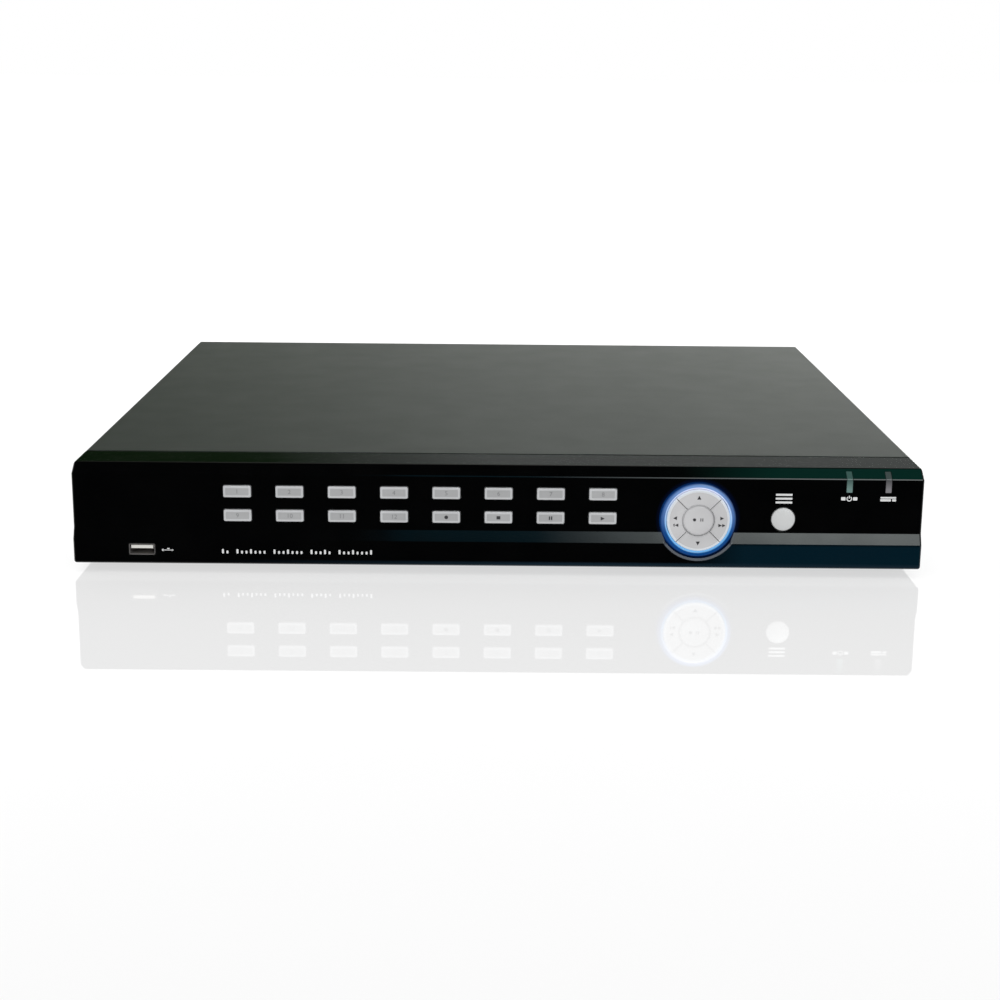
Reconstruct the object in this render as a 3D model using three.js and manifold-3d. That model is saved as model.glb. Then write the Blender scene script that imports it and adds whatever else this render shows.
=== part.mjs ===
// A sixteen-channel digital video recorder for a desk or shelf: a folded steel case with a glossy
// moulded front bezel, a key field, a lit navigation cluster, and the boards, drive, supply and
// sockets that it holds. Millimetres, +X to the right seen from the front, +Y to the back, +Z up.
// The origin is the centre of the outline on the surface that the feet stand on.
import * as THREE from "three";
import { mergeVertices } from "three/addons/utils/BufferGeometryUtils.js";
import Module from "manifold-3d";

const wasm = await Module();
wasm.setup();

// ---------------------------------------------------------------- driving sizes
const WIDTH = 430; // case and bezel
const CASE_HEIGHT = 51; // case underside to cover top
const DEPTH = 380; // front face to the cover's rear lip
const FOOT_HEIGHT = 4.5;
const PAD_PROUD = 3; // navigation keys in front of the front face
const JACK_PROUD = 11; // coaxial barrels behind the rear lip
const SHEET = 1; // steel sheet
const WALL = 2.5; // plastic wall
const GAP = 0.3; // clearance between neighbouring pieces
const PAST = 4; // how far a cutter runs past the face that it opens
const SUNK = 0.2; // how far a part is let into the board that it is soldered to
const TRAVEL_ROOM = 1.1; // key back to rubber dome, for 0.8 mm of travel

const HALF = WIDTH / 2;
const FRONT = PAD_PROUD - (DEPTH + PAD_PROUD + JACK_PROUD) / 2; // y of the front face
const REAR = FRONT + DEPTH; // y of the rear lip's outer face
const BASE = FOOT_HEIGHT; // z of the case underside
const TOP = BASE + CASE_HEIGHT;

// Front bezel, as offsets from FRONT and BASE
const BEZEL_DEPTH = 31.4;
const NOSE = { depth: 6.4, drop: 4.5 }; // chamfer along the top edge
const LEDGE = { top: 18.2, bottom: 12.8, proud: 2.5 }; // slanted band above the lower lip
const LIP_RADIUS = 1.8;

// Keys, as x and as heights over BASE
const KEY = { width: 14, height: 6, proud: 1, corner: 0.8, columns: 8, pitch: 26.37, x: -131.6 };
const STEM = { width: 8, height: 3, front: 3 }; // post behind a key, down to its rubber dome
const KEY_ROWS = [37.65, 25.2];
const NAV = { x: 101.3, z: 25, padInner: 8.2, padOuter: 16 }; // pad of four keys round the enter key
const RING = { inner: 16.4, outer: 19.2, flange: 20.6, edge: -1.2, crown: -2.2, back: 4 }; // light guide
const CLIP = { x: [-150, -50, 50, 150], width: 12, thick: 1.4 }; // tabs that hold the bezel to the case
const POCKET = { front: 21.4, back: 19.7 }; // cone that opens the lower lip round the ring
const ENTER_RADIUS = 7.7;
const MENU = { x: 144.4, z: 25.4, radius: 5.95 };
const LED = { width: 3, bottom: 39.6, reach: 5.3, power: 177.3, drive: 197 };
const USB_FRONT = { x: -180.2, z: 7.5, width: 13.1, height: 5.7 };
const KEY_BACK = 5.4; // back of every key, behind FRONT
const FLANGE = 1.5; // rim behind each key's hole that keeps the key in
const MAT = { front: 8, back: 9.2, left: -146, right: 154, bottom: 6, top: 46.5 };
const KEY_BOARD = { front: 9.5, back: 11.1, left: -200, right: 209, bottom: 3.5, top: 47 };
const RIBBON_HEADER = { left: -24, right: 4, height: 5 };
const HEADER_ROW = { front: 24, back: 30 }; // y of the headers along the main board's front edge
const LED_CHIP = { half: 1.6, bottom: 40, top: 42.6, height: 1.2 }; // light emitter behind its window

// Steel case
const SEAM = FRONT + BEZEL_DEPTH + GAP; // y where the steel begins
const WALL_Y = REAR - SHEET - GAP; // outer face of the rear wall
const CHASSIS_HALF = HALF - SHEET - 0.6;
const CHASSIS_TOP = TOP - SHEET - GAP;
const LIP_DROP = 7; // rear lip of the cover
const BOARD = { bottom: 11.5, top: 13.1, left: -208, right: 90, front: 20 }; // main board
const DECK = BOARD.top + GAP; // underside of what stands on the main board
const SUPPLY = { bottom: 9.5, top: 11.1, left: 146, right: 206, front: 40, back: 150 };
const BOARD_POSTS = { radius: 3.5, places: [[-200, 30], [84, 30], [-60, 100], [84, 170]] };
const SUPPLY_POSTS = { radius: 3, places: [[151, 45], [201, 45], [151, 145]] };
const CABLE_WINDOW = { left: -30, right: 10, bottom: 22, top: 36 }; // in the case's front wall

// Rear sockets: x centres
const JACK = { radius: 4.8, pitchX: 16, pitchZ: 17, z: 21.6, depth: 13, hole: 5.55 };
const VIDEO_IN = [54, -16];
const MONITOR_X = -62;
const AUDIO = { x: -90, pitch: 14, radius: 4.15, proud: 8, hole: 4.9 };
const VGA = { x: -125, z: 20.5, screw: 12.5, plate: 15.4 };
const NETWORK = { x: -155, width: 16.4, height: 29 };
const TERMINAL = { x: -189, width: 32, height: 11, ways: 8, pitch: 3.8 };
const FAN = { x: 112, z: 29, size: 40, depth: 10, bore: 19, hub: 12.5, screw: 16, plate: 1.2 };
const INLET = { x: 183, z: 28 };
const ROCKER = { x: 146, z: 28, tilt: 12, half: 7.2 };

// Inside
const DRIVE = { x: -120, y: -150, z: 8.2, width: 101.6, length: 147, height: 26.1 };

// ---------------------------------------------------------------- shape helpers
function solid(geometry) {
  const bare = geometry.clone();
  bare.deleteAttribute("normal");
  bare.deleteAttribute("uv");
  const merged = mergeVertices(bare, 1e-4);
  return new wasm.Manifold(
    new wasm.Mesh({
      numProp: 3,
      vertProperties: merged.attributes.position.array,
      triVerts: new Uint32Array(merged.index.array),
    }),
  );
}

function geometryOf(shape) {
  const mesh = shape.getMesh();
  const geometry = new THREE.BufferGeometry();
  const place = new Float32Array(mesh.numVert * 3);
  for (let i = 0; i < mesh.numVert; i++) {
    place.set(mesh.vertProperties.subarray(i * mesh.numProp, i * mesh.numProp + 3), i * 3);
  }
  geometry.setAttribute("position", new THREE.BufferAttribute(place, 3));
  geometry.setIndex(new THREE.BufferAttribute(new Uint32Array(mesh.triVerts), 1));
  geometry.computeVertexNormals();
  return geometry;
}

const join = (...shapes) => shapes.flat().reduce((sum, shape) => sum.add(shape));
const cut = (shape, ...tools) => tools.flat().reduce((rest, tool) => rest.subtract(tool), shape);
const move = (shape, x, y, z) => shape.translate([x, y, z]);

// A block between two corners
function block(x0, x1, y0, y1, z0, z1) {
  const geometry = new THREE.BoxGeometry(x1 - x0, y1 - y0, z1 - z0);
  return solid(geometry.translate((x0 + x1) / 2, (y0 + y1) / 2, (z0 + z1) / 2));
}

// Extrusion of an outline by a length, with the outline's two axes and its run laid along the given ones
function extrude(outline, length, axes, bevel = 0) {
  const geometry = new THREE.ExtrudeGeometry(outline, {
    depth: length - 2 * bevel,
    bevelEnabled: bevel > 0,
    bevelThickness: bevel,
    bevelSize: bevel,
    bevelOffset: -bevel,
    bevelSegments: 1,
    curveSegments: 2,
  });
  geometry.translate(0, 0, bevel);
  return solid(geometry.applyMatrix4(new THREE.Matrix4().makeBasis(...axes)));
}

const X = new THREE.Vector3(1, 0, 0);
const Y = new THREE.Vector3(0, 1, 0);
const Z = new THREE.Vector3(0, 0, 1);
const outlineOf = (points) => new THREE.Shape(points.map(([a, b]) => new THREE.Vector2(a, b)));

// (y, z) outline from x0 to x1
const prismX = (points, x0, x1) => move(extrude(outlineOf(points), x1 - x0, [Y, Z, X]), x0, 0, 0);
// (x, z) outline from y0 to y1
const prismY = (shape, y0, y1, bevel = 0) =>
  move(extrude(shape, y1 - y0, [X, Z, Y.clone().negate()], bevel), 0, y1, 0);

function roundedRectangle(width, height, radius) {
  const shape = new THREE.Shape();
  const w = width / 2;
  const h = height / 2;
  shape.moveTo(-w + radius, -h);
  shape.lineTo(w - radius, -h);
  shape.absarc(w - radius, -h + radius, radius, -Math.PI / 2, 0);
  shape.lineTo(w, h - radius);
  shape.absarc(w - radius, h - radius, radius, 0, Math.PI / 2);
  shape.lineTo(-w + radius, h);
  shape.absarc(-w + radius, h - radius, radius, Math.PI / 2, Math.PI);
  shape.lineTo(-w, -h + radius);
  shape.absarc(-w + radius, -h + radius, radius, Math.PI, 1.5 * Math.PI);
  return shape;
}

// Turned solid about an axis along +Y: profile is [radius, y] from the axis to the axis, or closed
function turned(profile, segments) {
  const lathe = new THREE.LatheGeometry(
    profile.map(([r, y]) => new THREE.Vector2(r, y)),
    segments,
  );
  const shape = solid(lathe);
  return shape.volume() < 0 ? solid(flipped(lathe)) : shape;
}

function flipped(geometry) {
  const index = geometry.index.array;
  for (let i = 0; i < index.length; i += 3) {
    [index[i + 1], index[i + 2]] = [index[i + 2], index[i + 1]];
  }
  return geometry;
}

const discY = (radius, y0, y1, segments = 16) =>
  turned([[0, y0], [radius, y0], [radius, y1], [0, y1]], segments);
const coneY = (radius0, y0, radius1, y1, segments) =>
  turned([[0, y0], [radius0, y0], [radius1, y1], [0, y1]], segments);
const tubeY = (inner, outer, y0, y1, segments) =>
  turned([[inner, y0], [outer, y0], [outer, y1], [inner, y1], [inner, y0]], segments);
const discZ = (radius, z0, z1, segments = 12) =>
  discY(radius, z0, z1, segments).rotate([90, 0, 0]).mirror([0, 1, 0]);
const discX = (radius, x0, x1, segments = 12) =>
  discY(radius, x0, x1, segments).rotate([0, 0, -90]);

// Annular sector about +Y: inner and outer radius, centred on a bearing in degrees, edges kept apart
function sector(inner, outer, bearing, spread, apart, y0, y1) {
  const steps = 6;
  const half = THREE.MathUtils.degToRad(spread / 2);
  const points = [];
  for (const [radius, way] of [[outer, 1], [inner, -1]]) {
    const inset = Math.asin(apart / 2 / radius);
    for (let i = 0; i <= steps; i++) {
      const angle = way * (half - inset) * ((2 * i) / steps - 1);
      points.push([radius * Math.sin(angle), radius * Math.cos(angle)]);
    }
  }
  return prismY(outlineOf(points), y0, y1).rotate([0, bearing, 0]);
}

// A flat cable: a (y, z) centre line with a thickness, run from x0 to x1
function flatCable(line, thickness, x0, x1) {
  const sides = [[], []];
  line.forEach(([y, z], i) => {
    const [ya, za] = line[Math.max(i - 1, 0)];
    const [yb, zb] = line[Math.min(i + 1, line.length - 1)];
    const run = Math.hypot(yb - ya, zb - za);
    const ny = (-(zb - za) / run) * (thickness / 2);
    const nz = ((yb - ya) / run) * (thickness / 2);
    sides[0].push([y - ny, z - nz]);
    sides[1].unshift([y + ny, z + nz]);
  });
  return prismX(sides.flat(), x0, x1);
}

// ---------------------------------------------------------------- materials
const paint = (colour, roughness, metalness) =>
  new THREE.MeshStandardMaterial({ color: colour, roughness, metalness });
const COVER_PAINT = paint(0x2b2e2b, 0.45, 0.3);
const CHASSIS_PAINT = paint(0x1f2120, 0.5, 0.3);
const BEZEL_GLOSS = paint(0x070808, 0.12, 0);
const SILVER_KEY = paint(0xb4b8ba, 0.35, 0.4);
const BLUE_GUIDE = paint(0x1f6fd0, 0.15, 0);
const GREEN_GUIDE = paint(0x7fa395, 0.3, 0);
const GREY_GUIDE = paint(0x9a9c9c, 0.3, 0);
const RUBBER = paint(0x151515, 0.9, 0);
const MAT_RUBBER = paint(0xcfd2d0, 0.8, 0);
const GREEN_BOARD = paint(0x0e4a2a, 0.5, 0);
const NICKEL = paint(0xb8b6ae, 0.3, 1);
const BLACK_PLASTIC = paint(0x141414, 0.5, 0);
const ALUMINIUM = paint(0xa8abad, 0.4, 1);
const ZINC = paint(0x9c9f9f, 0.45, 1);
const RIBBON = paint(0x8d9094, 0.6, 0);
const RED_CABLE = paint(0x9c2a22, 0.5, 0);
const YELLOW_CABLE = paint(0xc9a227, 0.5, 0);
const SCREW_STEEL = paint(0x1a1a1a, 0.35, 0.8);

const recorder = new THREE.Group();
const caseGroup = new THREE.Group();
const frontGroup = new THREE.Group(); // origin on the front face, at the case underside
frontGroup.position.set(0, FRONT, BASE);
const rearGroup = new THREE.Group(); // origin on the rear wall's outer face
rearGroup.position.set(0, WALL_Y, 0);
const insideGroup = new THREE.Group();
recorder.add(caseGroup, frontGroup, rearGroup, insideGroup);

function add(group, name, shape, material, x = 0, y = 0, z = 0) {
  const mesh = new THREE.Mesh(geometryOf(shape), material);
  mesh.name = name;
  mesh.position.set(x, y, z);
  group.add(mesh);
}

// ---------------------------------------------------------------- front bezel
// Chamfer frame: a point so far along the chamfer from its lower edge, and so far under its surface
const NOSE_LENGTH = Math.hypot(NOSE.depth, NOSE.drop);
const NOSE_EDGE = CASE_HEIGHT - NOSE.drop;
function onNose(along, under) {
  const dy = NOSE.depth / NOSE_LENGTH;
  const dz = NOSE.drop / NOSE_LENGTH;
  return [along * dy + under * dz, NOSE_EDGE + along * dz - under * dy];
}

function ledSlot(x) {
  const clear = LED.width / 2 + GAP;
  const [yOut, zOut] = onNose(LED.reach + GAP, -PAST);
  const slot = [
    [-PAST, LED.bottom - GAP],
    [KEY_BOARD.front, LED.bottom - GAP],
    [KEY_BOARD.front, 44],
    onNose(LED.reach + GAP, PAST),
    [yOut, zOut],
    [-PAST, zOut],
  ];
  return prismX(slot, x - clear, x + clear);
}

function keyPlaces() {
  return KEY_ROWS.flatMap((z) =>
    Array.from({ length: KEY.columns }, (_, column) => [KEY.x + column * KEY.pitch, z]),
  );
}

function bezel() {
  const lipArc = Array.from({ length: 4 }, (_, i) => {
    const angle = (i / 3) * (Math.PI / 2);
    return [
      -LEDGE.proud + LIP_RADIUS * (1 - Math.sin(angle)),
      LIP_RADIUS * (1 - Math.cos(angle)),
    ];
  });
  const outer = [
    [BEZEL_DEPTH, 0],
    ...lipArc,
    [-LEDGE.proud, LEDGE.bottom],
    [0, LEDGE.top],
    [0, NOSE_EDGE],
    [NOSE.depth, CASE_HEIGHT],
    [BEZEL_DEPTH, CASE_HEIGHT],
  ];
  const [innerY, innerZ] = onNose(0, WALL);
  const slope = NOSE.drop / NOSE.depth;
  const roof = CASE_HEIGHT - WALL;
  const inner = [
    [BEZEL_DEPTH + 1, WALL],
    [WALL, WALL],
    [WALL, innerZ + (WALL - innerY) * slope],
    [innerY + (roof - innerZ) / slope, roof],
    [BEZEL_DEPTH + 1, roof],
  ];
  const shell = cut(
    prismX(outer.reverse(), -HALF, HALF),
    prismX(inner.reverse(), -HALF + WALL, HALF - WALL),
  );
  const clips = CLIP.x.map((x) =>
    block(
      x - CLIP.width / 2,
      x + CLIP.width / 2,
      BEZEL_DEPTH - 8,
      BEZEL_DEPTH + 4,
      WALL - 0.2,
      WALL + CLIP.thick,
    ),
  );
  const clear = 0.7;
  const keyHole = prismY(
    roundedRectangle(KEY.width + clear, KEY.height + clear, KEY.corner),
    -PAST,
    WALL + 2,
  );
  const holes = keyPlaces().map(([x, z]) => move(keyHole, x, 0, z));
  const ringHole = move(discY(POCKET.back, -PAST, WALL + 2, 40), NAV.x, 0, NAV.z);
  const ringSeat = move(discY(RING.flange + 0.4, WALL, 4.5, 40), NAV.x, 0, NAV.z);
  const pocket = move(
    coneY(POCKET.front, -LEDGE.proud, POCKET.back, 0, 40),
    NAV.x,
    0,
    NAV.z,
  );
  const pocketMouth = move(discY(POCKET.front, -LEDGE.proud - PAST, -LEDGE.proud, 40), NAV.x, 0, NAV.z);
  const menuHole = move(discY(MENU.radius + 0.35, -PAST, WALL + 2, 24), MENU.x, 0, MENU.z);
  const usbHole = move(
    prismY(roundedRectangle(USB_FRONT.width + clear, USB_FRONT.height + clear, 0.6), -PAST, WALL + PAST),
    USB_FRONT.x,
    0,
    USB_FRONT.z,
  );
  return cut(
    join(shell, clips),
    holes,
    ringHole,
    ringSeat,
    pocket,
    pocketMouth,
    menuHole,
    usbHole,
    ledSlot(LED.power),
    ledSlot(LED.drive),
  );
}

add(frontGroup, "front_bezel", bezel(), BEZEL_GLOSS);

// ---------------------------------------------------------------- keys
function channelKey() {
  return join(
    prismY(roundedRectangle(KEY.width, KEY.height, KEY.corner), -KEY.proud, 3.5, 0.4),
    block(
      -KEY.width / 2 - FLANGE,
      KEY.width / 2 + FLANGE,
      WALL + GAP,
      WALL + GAP + 1,
      -KEY.height / 2 - FLANGE,
      KEY.height / 2 + FLANGE,
    ),
    block(-STEM.width / 2, STEM.width / 2, STEM.front, KEY_BACK, -STEM.height / 2, STEM.height / 2),
  );
}

const keyShape = channelKey();
keyPlaces().forEach(([x, z], i) => {
  const number = String(i + 1).padStart(2, "0");
  add(frontGroup, `channel_key_${number}`, keyShape, SILVER_KEY, x, 0, z);
});

// One quarter of the navigation pad, with a flange that hooks behind the light ring
function navKey(bearing) {
  const face = sector(NAV.padInner, NAV.padOuter, bearing, 90, 0.6, -PAD_PROUD, KEY_BACK);
  const hook = sector(NAV.padInner, NAV.padOuter + 1.4, bearing, 90, 1.4, 4.4, KEY_BACK);
  return join(face, hook);
}

[["up", 0], ["right", 90], ["down", 180], ["left", 270]].forEach(([way, bearing]) => {
  add(frontGroup, `nav_key_${way}`, navKey(bearing), SILVER_KEY, NAV.x, 0, NAV.z);
});

const enterKey = turned(
  [[0, -2.2], [5.4, -2.35], [6.9, -2.7], [ENTER_RADIUS, -2.4], [ENTER_RADIUS, KEY_BACK], [0, KEY_BACK]],
  24,
);
add(frontGroup, "enter_key", enterKey, SILVER_KEY, NAV.x, 0, NAV.z);

const menuKey = turned(
  [
    [0, -1.3], [3.2, -1.15], [5.3, -0.7], [MENU.radius, 0], [MENU.radius, WALL + GAP],
    [MENU.radius + 1.6, WALL + GAP], [MENU.radius + 1.6, WALL + 1.3], [2.5, WALL + 1.3],
    [2.5, KEY_BACK], [0, KEY_BACK],
  ],
  20,
);
add(frontGroup, "menu_key", menuKey, SILVER_KEY, MENU.x, 0, MENU.z);

// ---------------------------------------------------------------- light guides
const ringCrown = (RING.inner + RING.outer) / 2;
const lightRing = turned(
  [
    [RING.inner, RING.edge], [ringCrown, RING.crown], [RING.outer, RING.edge],
    [RING.outer, WALL + GAP], [RING.flange, WALL + GAP], [RING.flange, RING.back],
    [RING.inner, RING.back], [RING.inner, RING.edge],
  ],
  40,
);
add(frontGroup, "light_ring", lightRing, BLUE_GUIDE, NAV.x, 0, NAV.z);

function ledWindow() {
  const under = 0.25;
  const slope = NOSE.drop / NOSE.depth;
  const [cornerY, cornerZ] = onNose(0, under);
  const outline = [
    onNose(LED.reach, under),
    [under, cornerZ + (under - cornerY) * slope],
    [under, LED.bottom],
    [KEY_BOARD.front - 1.8, LED.bottom],
    [KEY_BOARD.front - 1.8, 43],
    onNose(LED.reach, 3.2),
  ];
  return prismX(outline, -LED.width / 2, LED.width / 2);
}
add(frontGroup, "power_led_window", ledWindow(), GREEN_GUIDE, LED.power);
add(frontGroup, "drive_led_window", ledWindow(), GREY_GUIDE, LED.drive);

// ---------------------------------------------------------------- rubber mat and key board
function rubberMat() {
  const domeTop = KEY_BACK + TRAVEL_ROOM;
  const sheet = block(MAT.left, MAT.right, MAT.front, MAT.back, MAT.bottom, MAT.top);
  const keyDome = block(-4.5, 4.5, domeTop, MAT.front + 0.5, -2, 2);
  const roundDome = discY(2.6, domeTop, MAT.front + 0.5, 10);
  const reach = (NAV.padInner + NAV.padOuter) / 2;
  const roundPlaces = [
    [0, 0], [0, reach], [reach, 0], [0, -reach], [-reach, 0], [MENU.x - NAV.x, MENU.z - NAV.z],
  ];
  return join(
    sheet,
    keyPlaces().map(([x, z]) => move(keyDome, x, 0, z)),
    roundPlaces.map(([x, z]) => move(roundDome, NAV.x + x, 0, NAV.z + z)),
  );
}
add(frontGroup, "keypad_mat", rubberMat(), MAT_RUBBER);

function keyBoard() {
  const led = block(
    -LED_CHIP.half,
    LED_CHIP.half,
    KEY_BOARD.front - LED_CHIP.height,
    KEY_BOARD.front + SUNK,
    LED_CHIP.bottom,
    LED_CHIP.top,
  );
  return join(
    block(
      KEY_BOARD.left,
      KEY_BOARD.right,
      KEY_BOARD.front,
      KEY_BOARD.back,
      KEY_BOARD.bottom,
      KEY_BOARD.top,
    ),
    move(led, LED.power, 0, 0),
    move(led, LED.drive, 0, 0),
    block(
      RIBBON_HEADER.left,
      RIBBON_HEADER.right,
      KEY_BOARD.back - SUNK,
      KEY_BOARD.back + RIBBON_HEADER.height,
      22,
      28,
    ),
  );
}
add(frontGroup, "key_board", keyBoard(), GREEN_BOARD);

// A USB-A socket: shell with a tongue under its roof, mouth towards -Y
function usbSocket(width, height, y0, y1) {
  const shell = 0.35;
  return join(
    cut(
      block(-width / 2, width / 2, y0, y1, -height / 2, height / 2),
      block(shell - width / 2, width / 2 - shell, y0 - 1, y1 - 1.5, shell - height / 2, height / 2 - shell),
    ),
    block(-width / 2 + 0.9, width / 2 - 0.9, y0 + 1, y1 - 1, 0.3, height / 2 - 0.75),
  );
}
add(
  frontGroup,
  "front_usb_port",
  usbSocket(USB_FRONT.width, USB_FRONT.height, -2.1, KEY_BOARD.front - GAP),
  NICKEL,
  USB_FRONT.x,
  0,
  USB_FRONT.z,
);

// ---------------------------------------------------------------- steel case
const SIDE_SCREW = { y: [SEAM + 45, REAR - 50], z: BASE + 9, hole: 1.8 };
const VENT = { count: 16, pitch: 7, width: 2.6, low: BASE + 20, high: BASE + 38, y: -60 };

// The space between the two side walls, less a margin: cutters that leave it alone open the sides only
const caseMiddle = (margin) => block(-HALF + margin, HALF - margin, FRONT, REAR, 0, TOP);

function topCover() {
  const under = BASE + GAP;
  const outline = outlineOf([
    [-HALF, under], [-HALF + SHEET, under], [-HALF + SHEET, TOP - SHEET],
    [HALF - SHEET, TOP - SHEET], [HALF - SHEET, under], [HALF, under],
    [HALF, TOP], [-HALF, TOP],
  ]);
  const rearLip = block(-HALF + 4, HALF - 4, REAR - SHEET, REAR, TOP - LIP_DROP, TOP - SHEET / 2);
  const vents = Array.from({ length: VENT.count }, (_, i) => {
    const y = VENT.y + i * VENT.pitch;
    return block(-HALF - 2, HALF + 2, y, y + VENT.width, VENT.low, VENT.high);
  });
  const core = caseMiddle(3);
  const screwHoles = SIDE_SCREW.y.map((y) =>
    move(discX(SIDE_SCREW.hole, -HALF - 2, HALF + 2), 0, y, SIDE_SCREW.z),
  );
  return cut(join(prismY(outline, SEAM, REAR), rearLip), cut(join(vents, screwHoles), core));
}
add(caseGroup, "top_cover", topCover(), COVER_PAINT);

// Holes in the rear wall, around its own origin
function jackPlaces() {
  const rows = [JACK.z, JACK.z + JACK.pitchZ];
  const columns = [-1.5, -0.5, 0.5, 1.5].map((step) => step * JACK.pitchX);
  const video = VIDEO_IN.flatMap((x) => columns.map((step) => x + step));
  return [...video, MONITOR_X].flatMap((x) => rows.map((z) => [x, z]));
}

function fanGrille() {
  const slots = [[3.4, 6.1], [7.6, 10.3], [11.8, 14.5], [16, 18.7]];
  const rings = slots.map(([inner, outer]) => tubeY(inner, outer, -PAST, PAST, 16));
  const spokes = [45, 135].map((turn) =>
    block(-FAN.size, FAN.size, -PAST - 1, PAST + 1, -1.3, 1.3).rotate([0, turn, 0]),
  );
  return move(cut(join(rings), spokes), FAN.x, 0, FAN.z);
}

function rearHoles() {
  const jackHole = discY(JACK.hole, -PAST, PAST, 8);
  const audioHole = discY(AUDIO.hole, -PAST, PAST, 8);
  const halfPitch = AUDIO.pitch / 2;
  const audioPlaces = [-halfPitch, halfPitch].flatMap((x) =>
    [JACK.z, JACK.z + JACK.pitchZ].map((z) => [AUDIO.x + x, z]),
  );
  const slot = (x, z0, width, height) =>
    block(x - width / 2, x + width / 2, -PAST, PAST, z0, z0 + height);
  return [
    ...jackPlaces().map(([x, z]) => move(jackHole, x, 0, z)),
    ...audioPlaces.map(([x, z]) => move(audioHole, x, 0, z)),
    fanGrille(),
    slot(VGA.x, VGA.z - 5, 18.4, 10),
    slot(NETWORK.x, DECK - 0.4, NETWORK.width + 0.8, NETWORK.height + 0.8),
    slot(TERMINAL.x, DECK - 0.4, TERMINAL.width + 0.8, TERMINAL.height + 0.8),
    slot(INLET.x, INLET.z - 10.4, 28, 20.8),
    slot(ROCKER.x, ROCKER.z - 10.2, 14, 20.4),
  ];
}

function chassis() {
  const floor = block(-CHASSIS_HALF, CHASSIS_HALF, SEAM, WALL_Y, BASE, BASE + SHEET);
  const rearWall = block(-CHASSIS_HALF, CHASSIS_HALF, WALL_Y - SHEET, WALL_Y, BASE, CHASSIS_TOP);
  const frontWall = block(-CHASSIS_HALF, CHASSIS_HALF, SEAM, SEAM + SHEET, BASE, CHASSIS_TOP);
  const flanges = [-1, 1].map((side) => {
    const outer = side * CHASSIS_HALF;
    const inner = side * (CHASSIS_HALF - SHEET);
    return block(Math.min(outer, inner), Math.max(outer, inner), SEAM, WALL_Y, BASE, BASE + 16);
  });
  const posts = [[BOARD_POSTS, BOARD], [SUPPLY_POSTS, SUPPLY]].flatMap(([post, board]) =>
    post.places.map(([x, y]) =>
      move(discZ(post.radius, BASE + SHEET / 2, board.bottom - GAP, 8), x, y, 0),
    ),
  );
  const screwHoles = SIDE_SCREW.y.map((y) =>
    move(discX(SIDE_SCREW.hole, -HALF, HALF), 0, y, SIDE_SCREW.z),
  );
  const core = caseMiddle(4);
  const cableWindow = block(
    CABLE_WINDOW.left,
    CABLE_WINDOW.right,
    SEAM - 1,
    SEAM + SHEET + 1,
    CABLE_WINDOW.bottom,
    CABLE_WINDOW.top,
  );
  const clipSlots = CLIP.x.map((x) =>
    block(
      x - CLIP.width / 2 - 0.5,
      x + CLIP.width / 2 + 0.5,
      SEAM - 1,
      SEAM + SHEET + 1,
      BASE + WALL - 0.7,
      BASE + WALL + CLIP.thick + 0.5,
    ),
  );
  const body = join(floor, rearWall, frontWall, flanges, posts);
  const holes = rearHoles().map((hole) => move(hole, 0, WALL_Y, 0));
  return cut(body, cableWindow, clipSlots, cut(join(screwHoles), core), holes);
}
add(caseGroup, "chassis", chassis(), CHASSIS_PAINT);

const footShape = turned(
  [[0, 0], [7.4, 0], [8.2, 0.8], [9, FOOT_HEIGHT - GAP], [0, FOOT_HEIGHT - GAP]],
  16,
).rotate([90, 0, 0]);
const FOOT_X = 182;
const FOOT_Y = { front: FRONT + 62, rear: REAR - 42 };
[["front_left", -1, FOOT_Y.front], ["front_right", 1, FOOT_Y.front],
  ["rear_left", -1, FOOT_Y.rear], ["rear_right", 1, FOOT_Y.rear]].forEach(([name, side, y]) => {
  add(caseGroup, `foot_${name}`, footShape, RUBBER, side * FOOT_X, y, 0);
});

const sideScrew = join(
  discX(1.45, HALF - 5, HALF + GAP + 0.2, 8),
  turned([[0, 0], [3, 0], [2.7, 1], [1.6, 1.6], [0, 1.6]], 12)
    .rotate([0, 0, -90])
    .translate([HALF + GAP, 0, 0]),
);
[["left", 180], ["right", 0]].forEach(([side, turn]) => {
  ["front", "rear"].forEach((end, i) => {
    add(
      caseGroup,
      `cover_screw_${side}_${end}`,
      sideScrew.rotate([0, 0, turn]),
      SCREW_STEEL,
      0,
      SIDE_SCREW.y[i],
      SIDE_SCREW.z,
    );
  });
});

// ---------------------------------------------------------------- rear sockets, around the wall's outer face
function coaxBarrel() {
  const tip = JACK_PROUD + SHEET + GAP;
  const bore = JACK.radius - 0.7;
  return turned(
    [
      [0, -1.5], [JACK.radius, -1.5], [JACK.radius, tip], [bore, tip],
      [bore, tip - 7], [2.3, tip - 7], [2.3, tip - 1], [0, tip - 1],
    ],
    10,
  );
}

function coaxBlock(columns) {
  const width = columns * JACK.pitchX - 0.6;
  const housing = block(
    -width / 2,
    width / 2,
    -SHEET - GAP - JACK.depth,
    -SHEET - GAP,
    DECK,
    JACK.z + JACK.pitchZ + 8,
  );
  const barrel = coaxBarrel();
  const barrels = [];
  for (let column = 0; column < columns; column++) {
    const x = (column - (columns - 1) / 2) * JACK.pitchX;
    barrels.push(move(barrel, x, 0, JACK.z), move(barrel, x, 0, JACK.z + JACK.pitchZ));
  }
  return join(housing, barrels);
}
VIDEO_IN.forEach((x, i) => {
  add(rearGroup, `video_input_block_${i + 1}`, coaxBlock(4), NICKEL, x);
});
add(rearGroup, "monitor_output_block", coaxBlock(1), NICKEL, MONITOR_X);

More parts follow.
